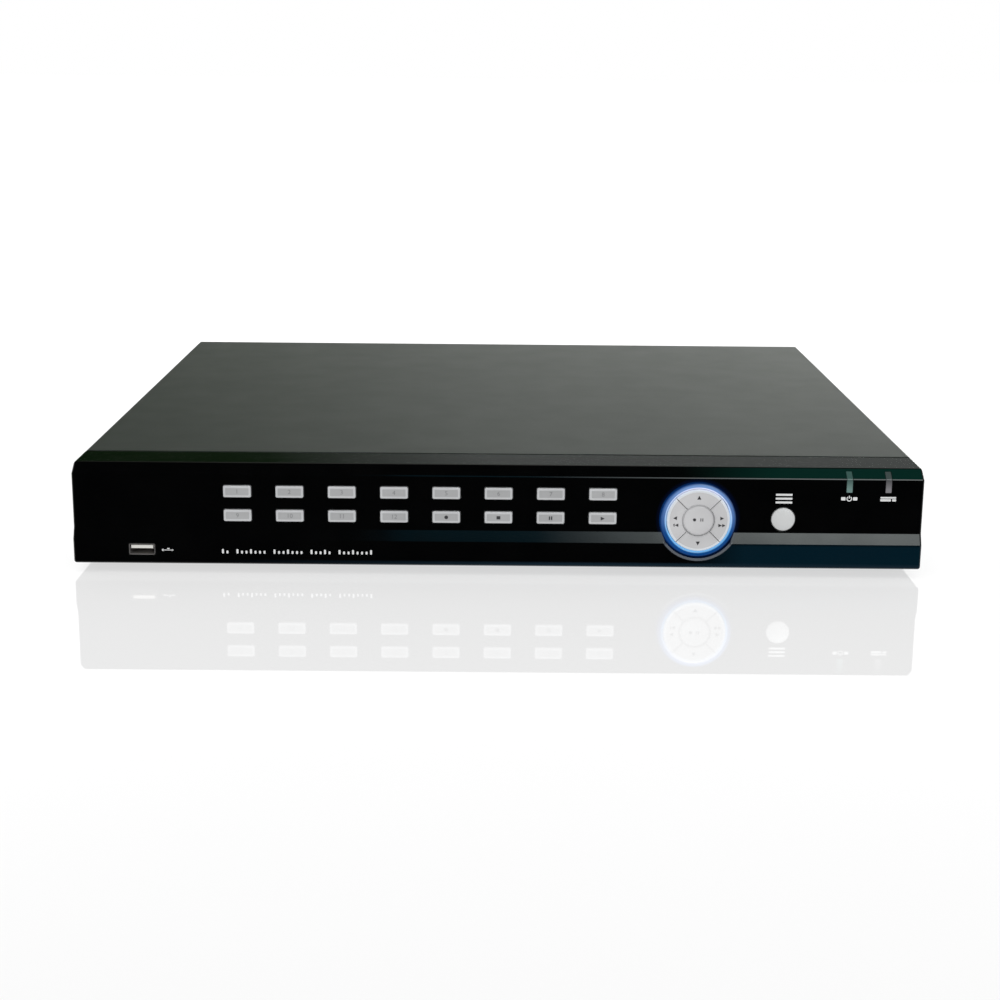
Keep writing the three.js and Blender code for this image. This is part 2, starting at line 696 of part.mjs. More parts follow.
function audioBlock() {
  const barrel = turned(
    [
      [0, -1.5], [AUDIO.radius, -1.5], [AUDIO.radius, AUDIO.proud],
      [1.7, AUDIO.proud], [1.7, 0.5], [0, 0.5],
    ],
    10,
  );
  const half = AUDIO.pitch / 2;
  const places = [-half, half].flatMap((x) => [[x, JACK.z], [x, JACK.z + JACK.pitchZ]]);
  return join(
    block(-AUDIO.pitch, AUDIO.pitch, -SHEET - GAP - 12, -SHEET - GAP, DECK, JACK.z + JACK.pitchZ + 8),
    places.map(([x, z]) => move(barrel, x, 0, z)),
  );
}
add(rearGroup, "audio_jack_block", audioBlock(), BLACK_PLASTIC, AUDIO.x);

function vgaPort() {
  const shell = outlineOf([[-8.4, 4.1], [-7.2, -4.1], [7.2, -4.1], [8.4, 4.1]].reverse());
  const holes = [-1, 1].map((side) => move(discY(1.6, -3, 4, 8), side * VGA.screw, 0, 0));
  return cut(
    join(
      prismY(shell, -2, 5.8),
      block(-VGA.plate, VGA.plate, -SHEET - GAP - 1, -SHEET - GAP, -6.2, 6.2),
      block(-VGA.plate, VGA.plate, -SHEET - GAP - 9, -SHEET - GAP - 0.5, DECK - VGA.z, 5),
    ),
    holes,
  );
}
add(rearGroup, "vga_port", vgaPort(), NICKEL, VGA.x, 0, VGA.z);

// Network socket over two USB sockets, in one shielded can
function networkStack() {
  const proud = 0.8;
  const depth = 18;
  const w = NETWORK.width / 2;
  const can = block(-w, w, -depth, proud, 0, NETWORK.height);
  const network = block(-5.95, 5.95, -12, proud + 1, 17.4, 25.4);
  const latch = block(-3, 3, -12, proud + 1, 25, 27.2);
  const usb = [2.2, 9.4].map((z) => block(-6.3, 6.3, -9, proud + 1, z, z + 5.1));
  const tongues = [2.2, 9.4].map((z) => block(-5.6, 5.6, -9.5, -0.6, z + 2.9, z + 4.6));
  return join(cut(can, network, latch, usb), tongues);
}
add(rearGroup, "network_usb_stack", networkStack(), NICKEL, NETWORK.x, 0, DECK);

function terminalBlock() {
  const w = TERMINAL.width / 2;
  const places = Array.from(
    { length: TERMINAL.ways },
    (_, i) => (i - (TERMINAL.ways - 1) / 2) * TERMINAL.pitch,
  );
  const wireHoles = places.map((x) => block(x - 1.3, x + 1.3, -4, 8, 2, 5));
  const screwHoles = places.map((x) => block(x - 1.2, x + 1.2, 2, 4.4, 8, 12));
  return cut(
    block(-w, w, -12, 6.5, 0, TERMINAL.height),
    block(-w - 1, w + 1, 0, 2, 9.4, 13),
    wireHoles,
    screwHoles,
  );
}
add(rearGroup, "terminal_block", terminalBlock(), paint(0x1d6b3a, 0.5, 0), TERMINAL.x, 0, DECK);

// Mains inlet: flange outside the wall, shroud with three blades, body inside
function powerInlet() {
  const face = 2.8;
  const shroud = outlineOf([
    [-12, -8.2], [12, -8.2], [12, 4.6], [8.4, 8.2], [-8.4, 8.2], [-12, 4.6],
  ]);
  const blades = [[-7, -2], [0, 2], [7, -2]].map(([x, z]) =>
    block(x - 1, x + 1, -14.5, face - 2, z - 2.2, z + 2.2),
  );
  return join(
    cut(
      join(
        prismY(roundedRectangle(48, 23, 4), GAP, face),
        block(-13.6, 13.6, -20, GAP + 0.5, -10, 10),
      ),
      prismY(shroud, -14, face + 1),
    ),
    blades,
  );
}
add(rearGroup, "power_inlet", powerInlet(), BLACK_PLASTIC, INLET.x, 0, INLET.z);

function rockerHousing() {
  return cut(
    join(
      prismY(roundedRectangle(18, 25, 1.2), GAP, 2.2),
      block(-6.6, 6.6, -16, GAP + 0.5, -9.8, 9.8),
    ),
    block(-5.4, 5.4, -9, 4, -8.6, 8.6),
  );
}
add(rearGroup, "power_switch_housing", rockerHousing(), BLACK_PLASTIC, ROCKER.x, 0, ROCKER.z);

// The rocker pivots about X just inside the wall: it rests with its lower half pressed in
const ROCKER_PIVOT = -1.5;
function rockerKey() {
  const steps = 6;
  const outline = [];
  for (let i = 0; i <= steps; i++) {
    const way = 1 - (2 * i) / steps;
    outline.push([4.6 - 1.4 * Math.cos((way * Math.PI) / 2), way * ROCKER.half]);
  }
  outline.push([0.5, -ROCKER.half], [-4.2, 0], [0.5, ROCKER.half]);
  return prismX(outline.reverse(), -5, 5).rotate([ROCKER.tilt, 0, 0]);
}
add(rearGroup, "power_rocker", rockerKey(), BLACK_PLASTIC, ROCKER.x, ROCKER_PIVOT, ROCKER.z);

// ---------------------------------------------------------------- fan
const FAN_BACK = -SHEET - GAP; // face against the rear wall
function fanFrame() {
  const half = FAN.size / 2;
  const front = FAN_BACK - FAN.depth;
  const body = prismY(roundedRectangle(FAN.size, FAN.size, 3), front, FAN_BACK);
  const screwHole = discY(1.7, front - 1, FAN_BACK + 1, 8);
  const screwHoles = [-FAN.screw, FAN.screw].flatMap((x) =>
    [-FAN.screw, FAN.screw].map((z) => move(screwHole, x, 0, z)),
  );
  const arm = block(0.5 - half, half - 0.5, front, front + FAN.plate, -1.2, 1.2);
  return join(
    cut(body, discY(FAN.bore, front - 1, FAN_BACK + 1, 28), screwHoles),
    discY(FAN.hub, front, front + FAN.plate, 20),
    arm.rotate([0, 45, 0]),
    arm.rotate([0, 135, 0]),
  );
}
add(rearGroup, "fan_frame", fanFrame(), BLACK_PLASTIC, FAN.x, 0, FAN.z);

function fanRotor() {
  const blades = 7;
  const back = -FAN.depth + 1.8;
  const blade = block(0, 19, -0.6, 0.6, -4.2, 4.2).rotate([52, 0, 0]).translate([0, (back - 0.8) / 2, 0]);
  const blank = discY(FAN.bore - 0.7, back, -0.8, 28);
  const fins = Array.from({ length: blades }, (_, i) => blade.rotate([0, (360 * i) / blades, 0]));
  return join(discY(FAN.hub - 0.3, back, -0.6, 20), fins.map((fin) => fin.intersect(blank)));
}
add(rearGroup, "fan_rotor", fanRotor(), BLACK_PLASTIC, FAN.x, FAN_BACK, FAN.z);

// ---------------------------------------------------------------- boards, drive and supply
const CHIP = { x: -20, y: 95, size: 27, height: 2.4 };
function mainBoard() {
  const on = BOARD.top - SUNK;
  const header = (left, right, height) =>
    block(left, right, HEADER_ROW.front, HEADER_ROW.back, on, BOARD.top + height);
  const decoders = [-130, -90, 20, 55].map((x) => block(x - 7, x + 7, 118, 132, on, BOARD.top + 1.4));
  const capacitors = [60, 74].map((x) => move(discZ(4, on, BOARD.top + 10, 10), x, 60, 0));
  return join(
    block(BOARD.left, BOARD.right, BOARD.front, WALL_Y - SHEET - GAP, BOARD.bottom, BOARD.top),
    block(
      CHIP.x - CHIP.size / 2, CHIP.x + CHIP.size / 2,
      CHIP.y - CHIP.size / 2, CHIP.y + CHIP.size / 2,
      on, BOARD.top + CHIP.height,
    ),
    decoders,
    capacitors,
    header(RIBBON_HEADER.left, RIBBON_HEADER.right, RIBBON_HEADER.height),
    header(-109, -91, 6), // drive data
    header(-143, -127, 6), // drive power
    block(70, 86, 110, 118, on, BOARD.top + 8), // supply header
  );
}
add(insideGroup, "main_board", mainBoard(), GREEN_BOARD);

function heatsink() {
  const half = 19;
  const foot = BOARD.top + CHIP.height + GAP;
  const fins = Array.from({ length: 8 }, (_, i) => {
    const x = -half + (i * (2 * half - 1.4)) / 7;
    return block(x, x + 1.4, -half, half, foot + 1, foot + 13);
  });
  return join(block(-half, half, -half, half, foot, foot + 2.2), fins);
}
add(insideGroup, "processor_heatsink", heatsink(), ALUMINIUM, CHIP.x, CHIP.y, 0);

function hardDrive() {
  const w = DRIVE.width / 2;
  return cut(
    join(
      block(-w, w, 0, DRIVE.length, 0, DRIVE.height - 4),
      block(-w + 4, w - 4, 4, DRIVE.length - 4, DRIVE.height - 5, DRIVE.height),
    ),
    block(-40, 40, DRIVE.length - 6, DRIVE.length + 1, 2.5, 9.5),
  );
}
add(insideGroup, "hard_drive", hardDrive(), ALUMINIUM, DRIVE.x, DRIVE.y, DRIVE.z);

function driveTray() {
  const w = DRIVE.width / 2 + GAP;
  const low = BASE + SHEET + GAP;
  const outline = outlineOf([
    [-w - 12, low], [w + 12, low], [w + 12, low + 1.2], [w + 1.2, low + 1.2], [w + 1.2, low + 18],
    [w, low + 18], [w, low + 1.2], [-w, low + 1.2], [-w, low + 18], [-w - 1.2, low + 18],
    [-w - 1.2, low + 1.2], [-w - 12, low + 1.2],
  ]);
  return prismY(outline, DRIVE.y + 10, DRIVE.y + DRIVE.length - 10);
}
add(insideGroup, "drive_tray", driveTray(), ZINC, DRIVE.x);

function powerSupply() {
  const on = SUPPLY.top - SUNK;
  return join(
    block(SUPPLY.left, SUPPLY.right, SUPPLY.front, SUPPLY.back, SUPPLY.bottom, SUPPLY.top),
    block(150, 176, 84, 112, on, 34), // transformer
    move(discZ(9, on, 38, 14), 194, 74, 0), // reservoir capacitor
    block(182, 186, 90, 140, on, 32), // heat spreader
    move(discZ(5, on, 26, 10), 184, 58, 0),
    move(discZ(5, on, 26, 10), 170, 58, 0),
    block(192, 204, 128, 146, on, 24), // mains filter
    block(150, 156, 62, 72, on, 18), // output header
  );
}
add(insideGroup, "power_supply", powerSupply(), GREEN_BOARD);

// ---------------------------------------------------------------- leads clipped inside the case
const DRIVE_END = DRIVE.y + DRIVE.length;
function frontRibbon() {
  const start = FRONT + KEY_BOARD.back + 5 + GAP;
  const line = [
    [start, BASE + 25], [start + 6, BASE + 25], [SEAM - 2, 28], [SEAM + 6, 26], [SEAM + 16, 18],
    [SEAM + 26, 10.5], [SEAM + 34, 8.6], [-6, 8.6], [4, 10.6], [10, 16], [14, 22.4], [20, 25.4],
    [25, 24], [27, 21.4], [27, BOARD.top + 5 + GAP],
  ];
  return flatCable(line, 1.2, -22, 2);
}
add(insideGroup, "front_ribbon_cable", frontRibbon(), RIBBON);

// A drive lead: plug in the drive's end, flat run in an arch, plug on its board header
function driveLead(x, plugWidth, width, thickness) {
  const z = DRIVE.z + 6;
  const line = [
    [DRIVE_END + 2, z], [DRIVE_END + 8, z + 0.6], [DRIVE_END + 14, z + 4], [DRIVE_END + 18, z + 10],
    [DRIVE_END + 23, z + 15], [DRIVE_END + 27, z + 16], [DRIVE_END + 30, z + 14], [DRIVE_END + 30.4, z + 9],
  ];
  const half = plugWidth / 2;
  return join(
    block(x - half, x + half, DRIVE_END - 5.5, DRIVE_END + 3, z - 2, z + 2),
    flatCable(line, thickness, x - width / 2, x + width / 2),
    block(x - half, x + half, 24.5, 29.5, BOARD.top + 6 + GAP, BOARD.top + 12),
  );
}
add(insideGroup, "drive_data_cable", driveLead(-100, 15, 8, 1.4), RED_CABLE);
add(insideGroup, "drive_power_cable", driveLead(-135, 14, 11, 2), YELLOW_CABLE);

function supplyCable() {
  const points = [
    [149.5, 67, 14.8], [145, 67, 15], [138, 69, 18], [126, 76, 22], [108, 90, 24],
    [92, 104, 26], [82, 112, 27], [78, 114, 25], [78, 114, BOARD.top + 8 + GAP],
  ].map(([x, y, z]) => new THREE.Vector3(x, y, z));
  const section = new THREE.Shape();
  section.absarc(0, 0, 2, 0, 2 * Math.PI);
  const geometry = new THREE.ExtrudeGeometry(section, {
    steps: 22,
    curveSegments: 4,
    extrudePath: new THREE.CatmullRomCurve3(points),
  });
  return join(
    solid(geometry),
    block(72, 84, 111, 117, BOARD.top + 8 + GAP, BOARD.top + 14),
  );
}
add(insideGroup, "supply_cable", supplyCable(), YELLOW_CABLE);

export default recorder;
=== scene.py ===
import math

import bmesh
import bpy
from mathutils import Matrix, Vector

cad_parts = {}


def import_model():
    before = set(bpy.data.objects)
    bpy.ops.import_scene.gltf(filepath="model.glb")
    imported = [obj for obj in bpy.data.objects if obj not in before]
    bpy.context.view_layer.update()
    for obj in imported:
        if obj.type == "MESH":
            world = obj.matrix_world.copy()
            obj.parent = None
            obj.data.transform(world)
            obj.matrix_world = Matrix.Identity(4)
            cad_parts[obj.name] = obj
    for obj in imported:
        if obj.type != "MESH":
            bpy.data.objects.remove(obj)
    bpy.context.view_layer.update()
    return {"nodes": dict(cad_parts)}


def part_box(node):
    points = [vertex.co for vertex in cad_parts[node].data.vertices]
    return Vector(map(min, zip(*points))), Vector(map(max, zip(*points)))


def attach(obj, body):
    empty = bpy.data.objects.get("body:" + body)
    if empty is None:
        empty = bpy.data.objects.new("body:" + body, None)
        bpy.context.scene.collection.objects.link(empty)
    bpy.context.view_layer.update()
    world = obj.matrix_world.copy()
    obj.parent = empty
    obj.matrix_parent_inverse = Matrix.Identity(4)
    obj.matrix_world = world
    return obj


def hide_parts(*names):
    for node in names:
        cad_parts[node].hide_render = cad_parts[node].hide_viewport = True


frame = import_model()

MM = 0.001
CASE = "recorder_case"

# ------------------------------------------------------------------ sizes, in millimetres
LIP_PROUD = 2.5  # lower lip in front of the front face
KEY_PROUD = 1.0
WALL = 2.5
SHEET = 1.0
GAP = 0.3
LIFT = 0.02  # keeps a piece that lies on a face just off it


def box_mm(node_name):
    low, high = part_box(node_name)
    return low / MM, high / MM


def centre_mm(node_name):
    low, high = box_mm(node_name)
    return (low + high) / 2


def row(count, pitch):
    """Evenly spaced places about zero."""
    return [(i - (count - 1) / 2) * pitch for i in range(count)]


BEZEL_LOW, BEZEL_HIGH = box_mm("front_bezel")
COVER_LOW, COVER_HIGH = box_mm("top_cover")
CHASSIS_LOW, CHASSIS_HIGH = box_mm("chassis")
HALF = BEZEL_HIGH.x
FRONT = BEZEL_LOW.y + LIP_PROUD  # y of the front face
BASE = BEZEL_LOW.z  # z of the case underside
HEIGHT = BEZEL_HIGH.z - BASE
FACE = Vector((0, FRONT, BASE))  # origin of everything drawn on the front
SEAM = COVER_LOW.y  # where the steel begins
BEZEL_DEPTH = SEAM - GAP - FRONT
REAR = COVER_HIGH.y
WALL_Y = CHASSIS_HIGH.y  # outer face of the rear wall
LEDGE_TOP, LEDGE_BOTTOM = 18.2, 12.8
GROOVE = (1.5, 0.9)  # width and depth of the shadow line between the bezel and the cover

NOSE_DEPTH, NOSE_DROP = 6.4, 4.5  # chamfer along the bezel's top edge
NOSE_FOOT = Vector((0, HEIGHT - NOSE_DROP))  # (y, z) of its lower edge
UP_NOSE = Vector((NOSE_DEPTH, NOSE_DROP)).normalized()
OFF_NOSE = Vector((-UP_NOSE.y, UP_NOSE.x))  # square off the chamfer, outwards

CHANNEL_KEYS = [f"channel_key_{number:02d}" for number in range(1, 17)]
KEY_SIZE = (14.0, 6.0)
KEY_FACE = -KEY_PROUD + 0.10  # a channel key's sunken face
NAV = centre_mm("light_ring") - Vector((0, 0, BASE))
NAV_BEARINGS = {"up": 0, "right": 90, "down": 180, "left": 270}
RING_OUTER, RING_INNER = 19.2, 16.4
PAD_OUTER, PAD_INNER, ENTER_RADIUS = 16.0, 8.2, 7.7
PAD_FACE = -2.62
MENU = centre_mm("menu_key") - Vector((0, 0, BASE))
MENU_RADIUS = 5.95
LED_X = {name: centre_mm(name).x for name in ("power_led_window", "drive_led_window")}
LED_HALF = (box_mm("power_led_window")[1].x - box_mm("power_led_window")[0].x) / 2
LED_LOW, LED_REACH = 39.6, 5.3  # a window's lower end, and how far it runs up the chamfer
LED_SHADE_FADE = (45.5, 51.5)  # heights over the ground between which its colour changes to the painted shade over the chamfer
USB = centre_mm("front_usb_port") - FACE
USB_SIZE = (13.1, 5.7)
USB_CONTACT_PITCH = 2.3

VENT = {"count": 16, "pitch": 7.0, "width": 2.6, "y": -60.0, "low": 20.0, "high": 38.0}
SCREW_Y = [centre_mm("cover_screw_left_front").y, centre_mm("cover_screw_left_rear").y]
SCREW_Z = centre_mm("cover_screw_left_front").z
CABLE_WINDOW = (-10, 29, 40, 14)  # x, z, width and height of the opening in the front wall
FEET = ("foot_front_left", "foot_front_right", "foot_rear_left", "foot_rear_right")

JACK_ROWS = (21.6, 38.6)
JACK_PITCH = 16.0
VIDEO_BLOCKS = {"video_input_block_1": 4, "video_input_block_2": 4, "monitor_output_block": 1}
AUDIO = centre_mm("audio_jack_block")
AUDIO_COLUMNS = (AUDIO.x - 7, AUDIO.x + 7)
VGA = centre_mm("vga_port")
VGA_Z = 20.5
NETWORK = centre_mm("network_usb_stack")
DECK = box_mm("network_usb_stack")[0].z  # top of the main board
STACK_USB = (2.2, 9.4)  # bottoms of the stack's two USB openings, over the deck
TERMINAL = centre_mm("terminal_block")
TERMINAL_WAYS = row(8, 3.8)
INLET = centre_mm("power_inlet")
ROCKER = centre_mm("power_switch_housing")
FAN = centre_mm("fan_frame")
FAN_SCREWS = [(x, z) for x in (-16, 16) for z in (-16, 16)]
REAR_SCREWS = (-208, -170, -139, -108, -72, -52, 19, 90, 207)


# ------------------------------------------------------------------ shader helpers
def new_material(name):
    material = bpy.data.materials.new(name)
    material.use_nodes = True
    tree = material.node_tree
    return material, tree, tree.nodes["Principled BSDF"]


def join(tree, value, socket):
    """Links a socket to a value that is a socket, or sets its constant."""
    if isinstance(value, bpy.types.NodeSocket):
        tree.links.new(value, socket)
    else:
        socket.default_value = value


def feed(tree, target, **inputs):
    """Joins values to a node's named inputs. An underscore stands for a space."""
    for key, value in inputs.items():
        join(tree, value, target.inputs[key.replace("_", " ")])


def node(tree, kind, settings=(), **inputs):
    """Adds a node, sets its properties, and joins values to its named inputs."""
    made = tree.nodes.new(kind)
    for key, value in dict(settings).items():
        setattr(made, key, value)
    feed(tree, made, **inputs)
    return made


def worked(tree, kind, operation, *values):
    """A maths node over some values."""
    made = node(tree, kind, {"operation": operation})
    for value, socket in zip(values, made.inputs):
        join(tree, value, socket)
    return made


def product(tree, first, second):
    return worked(tree, "ShaderNodeMath", "MULTIPLY", first, second).outputs[0]


def place(tree):
    return node(tree, "ShaderNodeTexCoord").outputs["Object"]


def split(tree, vector):
    return node(tree, "ShaderNodeSeparateXYZ", Vector=vector).outputs


def noise(tree, scale, detail=3.0, where=None):
    made = node(tree, "ShaderNodeTexNoise", Vector=where or place(tree), Scale=scale, Detail=detail)
    return made.outputs["Fac"]


def spread(tree, value, low, high, start=0.3, end=0.7):
    """Maps a value from start..end onto low..high."""
    made = node(tree, "ShaderNodeMapRange", Value=value)
    for index, number in zip((1, 2, 3, 4), (start, end, low, high)):
        made.inputs[index].default_value = number
    return made.outputs["Result"]


def rise(tree, value, start, end):
    """0 to 1 as a length goes from start to end, in millimetres."""
    return spread(tree, value, 0, 1, start * MM, end * MM)


def fall(tree, value, start, end):
    """1 to 0 as a length goes from start to end, in millimetres."""
    return spread(tree, value, 1, 0, start * MM, end * MM)


def rgba(colour):
    return colour if isinstance(colour, bpy.types.NodeSocket) else (*colour, 1)


def blend(tree, factor, first, second):
    """Mixes two colours, each of which is a socket or three numbers."""
    made = node(tree, "ShaderNodeMix", {"data_type": "RGBA"})
    for index, value in ((0, factor), (6, rgba(first)), (7, rgba(second))):
        join(tree, value, made.inputs[index])
    return made.outputs[2]


def bump(tree, height, depth_mm):
    made = node(tree, "ShaderNodeBump", Height=height, Strength=1.0, Distance=depth_mm * MM)
    return made.outputs["Normal"]


# ------------------------------------------------------------------ materials
def surface(name, colour, roughness, metallic=0.0, specular=0.5, grain=1500, depth=0.02, vary=0.15,
            mottle=60):
    """A finish with mottled colour, uneven gloss and a fine grain, from noise in the piece's own space."""
    material, tree, shader = new_material(name)
    darker = tuple(part * (1 - vary) for part in colour)
    lighter = tuple(min(1, part * (1 + vary)) for part in colour)
    patches = spread(tree, noise(tree, mottle, 4), 0, 1)
    low, high = roughness * (1 - vary), min(1, roughness * (1 + vary))
    feed(
        tree, shader, Metallic=metallic, Specular_IOR_Level=specular,
        Base_Color=blend(tree, patches, darker, lighter),
        Roughness=spread(tree, noise(tree, mottle * 0.7, 5), low, high),
        Normal=bump(tree, noise(tree, grain, 2), depth),
    )
    return material


def brushed(name, colour, roughness, along=(1, 1, 40), metallic=1.0):
    """Drawn or rolled stock: grain stretched along one direction."""
    material, tree, shader = new_material(name)
    stretched = node(tree, "ShaderNodeMapping", Vector=place(tree), Scale=along).outputs["Vector"]
    streaks = noise(tree, 300, 5, stretched)
    darker = tuple(part * 0.8 for part in colour)
    feed(
        tree, shader, Metallic=metallic, Normal=bump(tree, streaks, 0.01),
        Base_Color=blend(tree, spread(tree, streaks, 0, 1), darker, colour),
        Roughness=spread(tree, streaks, roughness * 0.8, roughness * 1.3),
    )
    return material


def glowing(name, lower, chamfer_shade):
    """A light guide with a painted glow, whose colour changes with height: painted shade darkens it where
    it runs up over the chamfer.
    """
    material, tree, shader = new_material(name)
    # Painted shade: the colour turns darker where the window runs up over the chamfer.
    colour = blend(tree, rise(tree, split(tree, place(tree))["Z"], *LED_SHADE_FADE), lower, chamfer_shade)
    uneven = spread(tree, noise(tree, 220, 3), 0.9, 1.1)
    feed(
        tree, shader, Base_Color=colour, Emission_Color=colour,
        Emission_Strength=product(tree, uneven, 0.35),
        Roughness=spread(tree, noise(tree, 90, 4), 0.12, 0.25),
    )
    return material


def silver(name, colour, roughness, vary):
    """Fine silver paint."""
    return surface(name, colour, roughness, grain=6000, depth=0.006, vary=vary)


def ink(name, colour, vary=0.1):
    """Matt screen print."""
    return surface(name, colour, 0.5, grain=7000, depth=0.004, vary=vary)


def moulded(name, colour, roughness=0.45, **finish):
    """Smooth coloured plastic."""
    return surface(name, colour, roughness, depth=0.01, **finish)


def circuit_board():
    """Green solder mask over copper: faint tracks from a stretched cell pattern, and pale pads."""
    material, tree, shader = new_material("solder_mask")
    cells = node(tree, "ShaderNodeTexVoronoi", {"distance": "CHEBYCHEV"}, Vector=place(tree), Scale=420)
    tracks = spread(tree, cells.outputs["Distance"], 0, 1, 0.35, 0.45)
    mask = blend(tree, tracks, (0.008, 0.075, 0.025), (0.02, 0.14, 0.05))
    dots = node(tree, "ShaderNodeTexVoronoi", Vector=place(tree), Scale=260).outputs["Distance"]
    pads = spread(tree, dots, 1, 0, 0.08, 0.12)
    feed(
        tree, shader, Base_Color=blend(tree, pads, mask, (0.5, 0.45, 0.3)),
        Roughness=spread(tree, noise(tree, 80), 0.3, 0.45),
        Normal=bump(tree, tracks, 0.03),
    )
    return material


def about_ring(tree):
    """(distance from the lit ring's axis, sideways, height over that axis) of a point, in metres."""
    kind = "ShaderNodeVectorMath"
    axis = Vector((NAV.x, 0, NAV.z + BASE)) * MM
    where = worked(tree, kind, "SUBTRACT", place(tree), axis).outputs[0]
    flat = worked(tree, kind, "MULTIPLY", where, (1, 0, 1)).outputs[0]
    radius = worked(tree, kind, "LENGTH", flat).outputs["Value"]
    parts = split(tree, where)
    return radius, parts["X"], parts["Z"]


def ring_glow():
    """Near white at the lit ring's inner edge, a painted highlight; blue on its crown, dark outside, paler
    towards the top.
    """
    material, tree, shader = new_material("ring_blue_glow")
    radius, sideways, height = about_ring(tree)
    upward = rise(tree, height, -7, 17)
    crown = blend(tree, upward, (0.001, 0.044, 0.18), (0.12, 0.22, 0.45))
    rim = blend(tree, upward, (0.20, 0.50, 0.82), (0.84, 0.85, 1.0))
    edge = blend(tree, fall(tree, sideways, -17, 17), (0.0006, 0.005, 0.033), (0.003, 0.030, 0.13))
    # Painted highlight: the near-white inner edge, paler towards the top.
    inner = blend(tree, rise(tree, radius, 16.5, 17.3), rim, crown)
    colour = blend(tree, rise(tree, radius, 18.0, 19.1), inner, edge)
    feed(
        tree, shader, Base_Color=colour, Emission_Color=colour,
        Emission_Strength=spread(tree, noise(tree, 200), 0.42, 0.52),
        Roughness=spread(tree, noise(tree, 90, 4), 0.1, 0.2),
    )
    return material


def bezel_gloss():
    """Piano black, with a painted deep blue-green reflection on the lower lip towards the right, a painted
    dark blue reflection along the lower edge, a painted pale highlight on the arc where the ring's pocket
    meets the ledge, and a painted blue glow round the ring."""
    material, tree, shader = new_material("bezel_gloss_black")
    parts = split(tree, place(tree))
    radius = about_ring(tree)[0]
    patches = spread(tree, noise(tree, 60, 4), 0, 1)
    black = blend(tree, patches, (0.0006, 0.0007, 0.0008), (0.0011, 0.0012, 0.0013))
    # Painted reflection: deep blue-green on the lower lip, stronger towards the right.
    lower = fall(tree, parts["Z"], BASE + 11.5, BASE + 13.5)
    teal_reflection = product(tree, lower, rise(tree, parts["X"], 100, 125))
    body = blend(tree, teal_reflection, black, (0.0014, 0.0115, 0.0200))
    # Painted reflection of the floor: dark blue along the rounded lower edge, stronger towards the right.
    under = fall(tree, parts["Z"], BASE + 1.9, BASE + 2.9)
    navy_reflection = product(tree, under, rise(tree, parts["X"], -140, 20))
    body = blend(tree, navy_reflection, body, (0.006, 0.016, 0.026))
    # Painted highlight: a pale arc where the ring's pocket meets the ledge.
    arc = product(tree, rise(tree, radius, 19.9, 20.1), fall(tree, radius, 21.0, 21.3))
    arc = product(tree, arc, fall(tree, parts["Z"], BASE + 12.0, BASE + 14.0))
    # Painted glow: blue light round the ring, given as emission on the bezel.
    halo_glow = fall(tree, radius, 19.4, 21.6)
    feed(
        tree, shader, Base_Color=blend(tree, arc, body, (0.115, 0.125, 0.135)),
        Emission_Color=blend(tree, halo_glow, (0.0, 0.0, 0.0), (0.0003, 0.003, 0.016)),
        Emission_Strength=1.0,
        Roughness=spread(tree, noise(tree, 42, 5), 0.07, 0.12),
        Normal=bump(tree, noise(tree, 900, 2), 0.0006),
    )
    return material


COVER_PAINT = surface("cover_satin_paint", (0.030, 0.035, 0.031), 0.38, specular=0.35, grain=2600,
                      depth=0.010, vary=0.04)
CHASSIS_PAINT = surface("chassis_black_paint", (0.026, 0.028, 0.027), 0.48, grain=2400, depth=0.012)
SILVER_FACE = silver("key_silver_face", (0.41, 0.415, 0.42), 0.42, 0.06)
# A paler copy of the key silver, a painted highlight on the keys' rounded edges and rims.
SILVER_RIM_HIGHLIGHT = silver("key_silver_rim_highlight", (0.56, 0.57, 0.58), 0.35, 0.06)
PAD_SILVER = silver("pad_silver", (0.60, 0.60, 0.61), 0.38, 0.07)
# A near-white, blue-tinged copy of the pad silver, a painted highlight on the pad's outer rim.
PAD_RIM_HIGHLIGHT = surface("pad_rim_highlight", (0.80, 0.84, 0.88), 0.28, 0.1, grain=5000, depth=0.004, vary=0.04)
MENU_WHITE = surface("menu_key_white", (0.66, 0.67, 0.67), 0.4, 0.05, grain=5000, depth=0.006, vary=0.05)
PRINT_WHITE = ink("printed_white", (0.75, 0.76, 0.76), 0.08)
PRINT_GREY = ink("printed_grey", (0.045, 0.045, 0.05))
PRINT_FAINT = ink("printed_faint_grey", (0.22, 0.225, 0.23))
RUBBER = surface("foot_black_rubber", (0.018, 0.018, 0.018), 0.85, grain=1200, depth=0.04, vary=0.2)
MAT_RUBBER = surface("mat_pale_rubber", (0.55, 0.57, 0.55), 0.75, grain=900)
NICKEL = surface("nickel_plate", (0.62, 0.60, 0.56), 0.28, 1.0, grain=2200, depth=0.004, vary=0.08)
TIN = brushed("tinned_shell", (0.66, 0.66, 0.64), 0.30)
SATIN_SHELL = surface("satin_tinned_shell", (0.20, 0.19, 0.185), 0.45, 0.35, grain=2600, depth=0.006,
                      vary=0.1)
GOLD = surface("gold_contact", (0.85, 0.60, 0.22), 0.25, 1.0, grain=3000, depth=0.003, vary=0.1)
BLACK_PLASTIC = surface("moulded_black", (0.020, 0.020, 0.021), 0.5, grain=1800)
WHITE_PLASTIC = moulded("moulded_white", (0.75, 0.74, 0.70), vary=0.06)
RED_PLASTIC = moulded("moulded_red", (0.45, 0.02, 0.02), 0.42)
BLUE_PLASTIC = moulded("moulded_blue", (0.02, 0.07, 0.35))
TERMINAL_GREEN = moulded("moulded_green", (0.02, 0.22, 0.07))
ALUMINIUM = surface("cast_aluminium", (0.52, 0.53, 0.54), 0.38, 1.0, grain=1400, vary=0.1)
ZINC = surface("zinc_plate", (0.48, 0.49, 0.48), 0.38, 1.0, mottle=140, vary=0.2, depth=0.006)
BLACK_SCREW = surface("black_zinc_screw", (0.03, 0.03, 0.032), 0.32, 0.7, grain=3000, depth=0.008, vary=0.2)
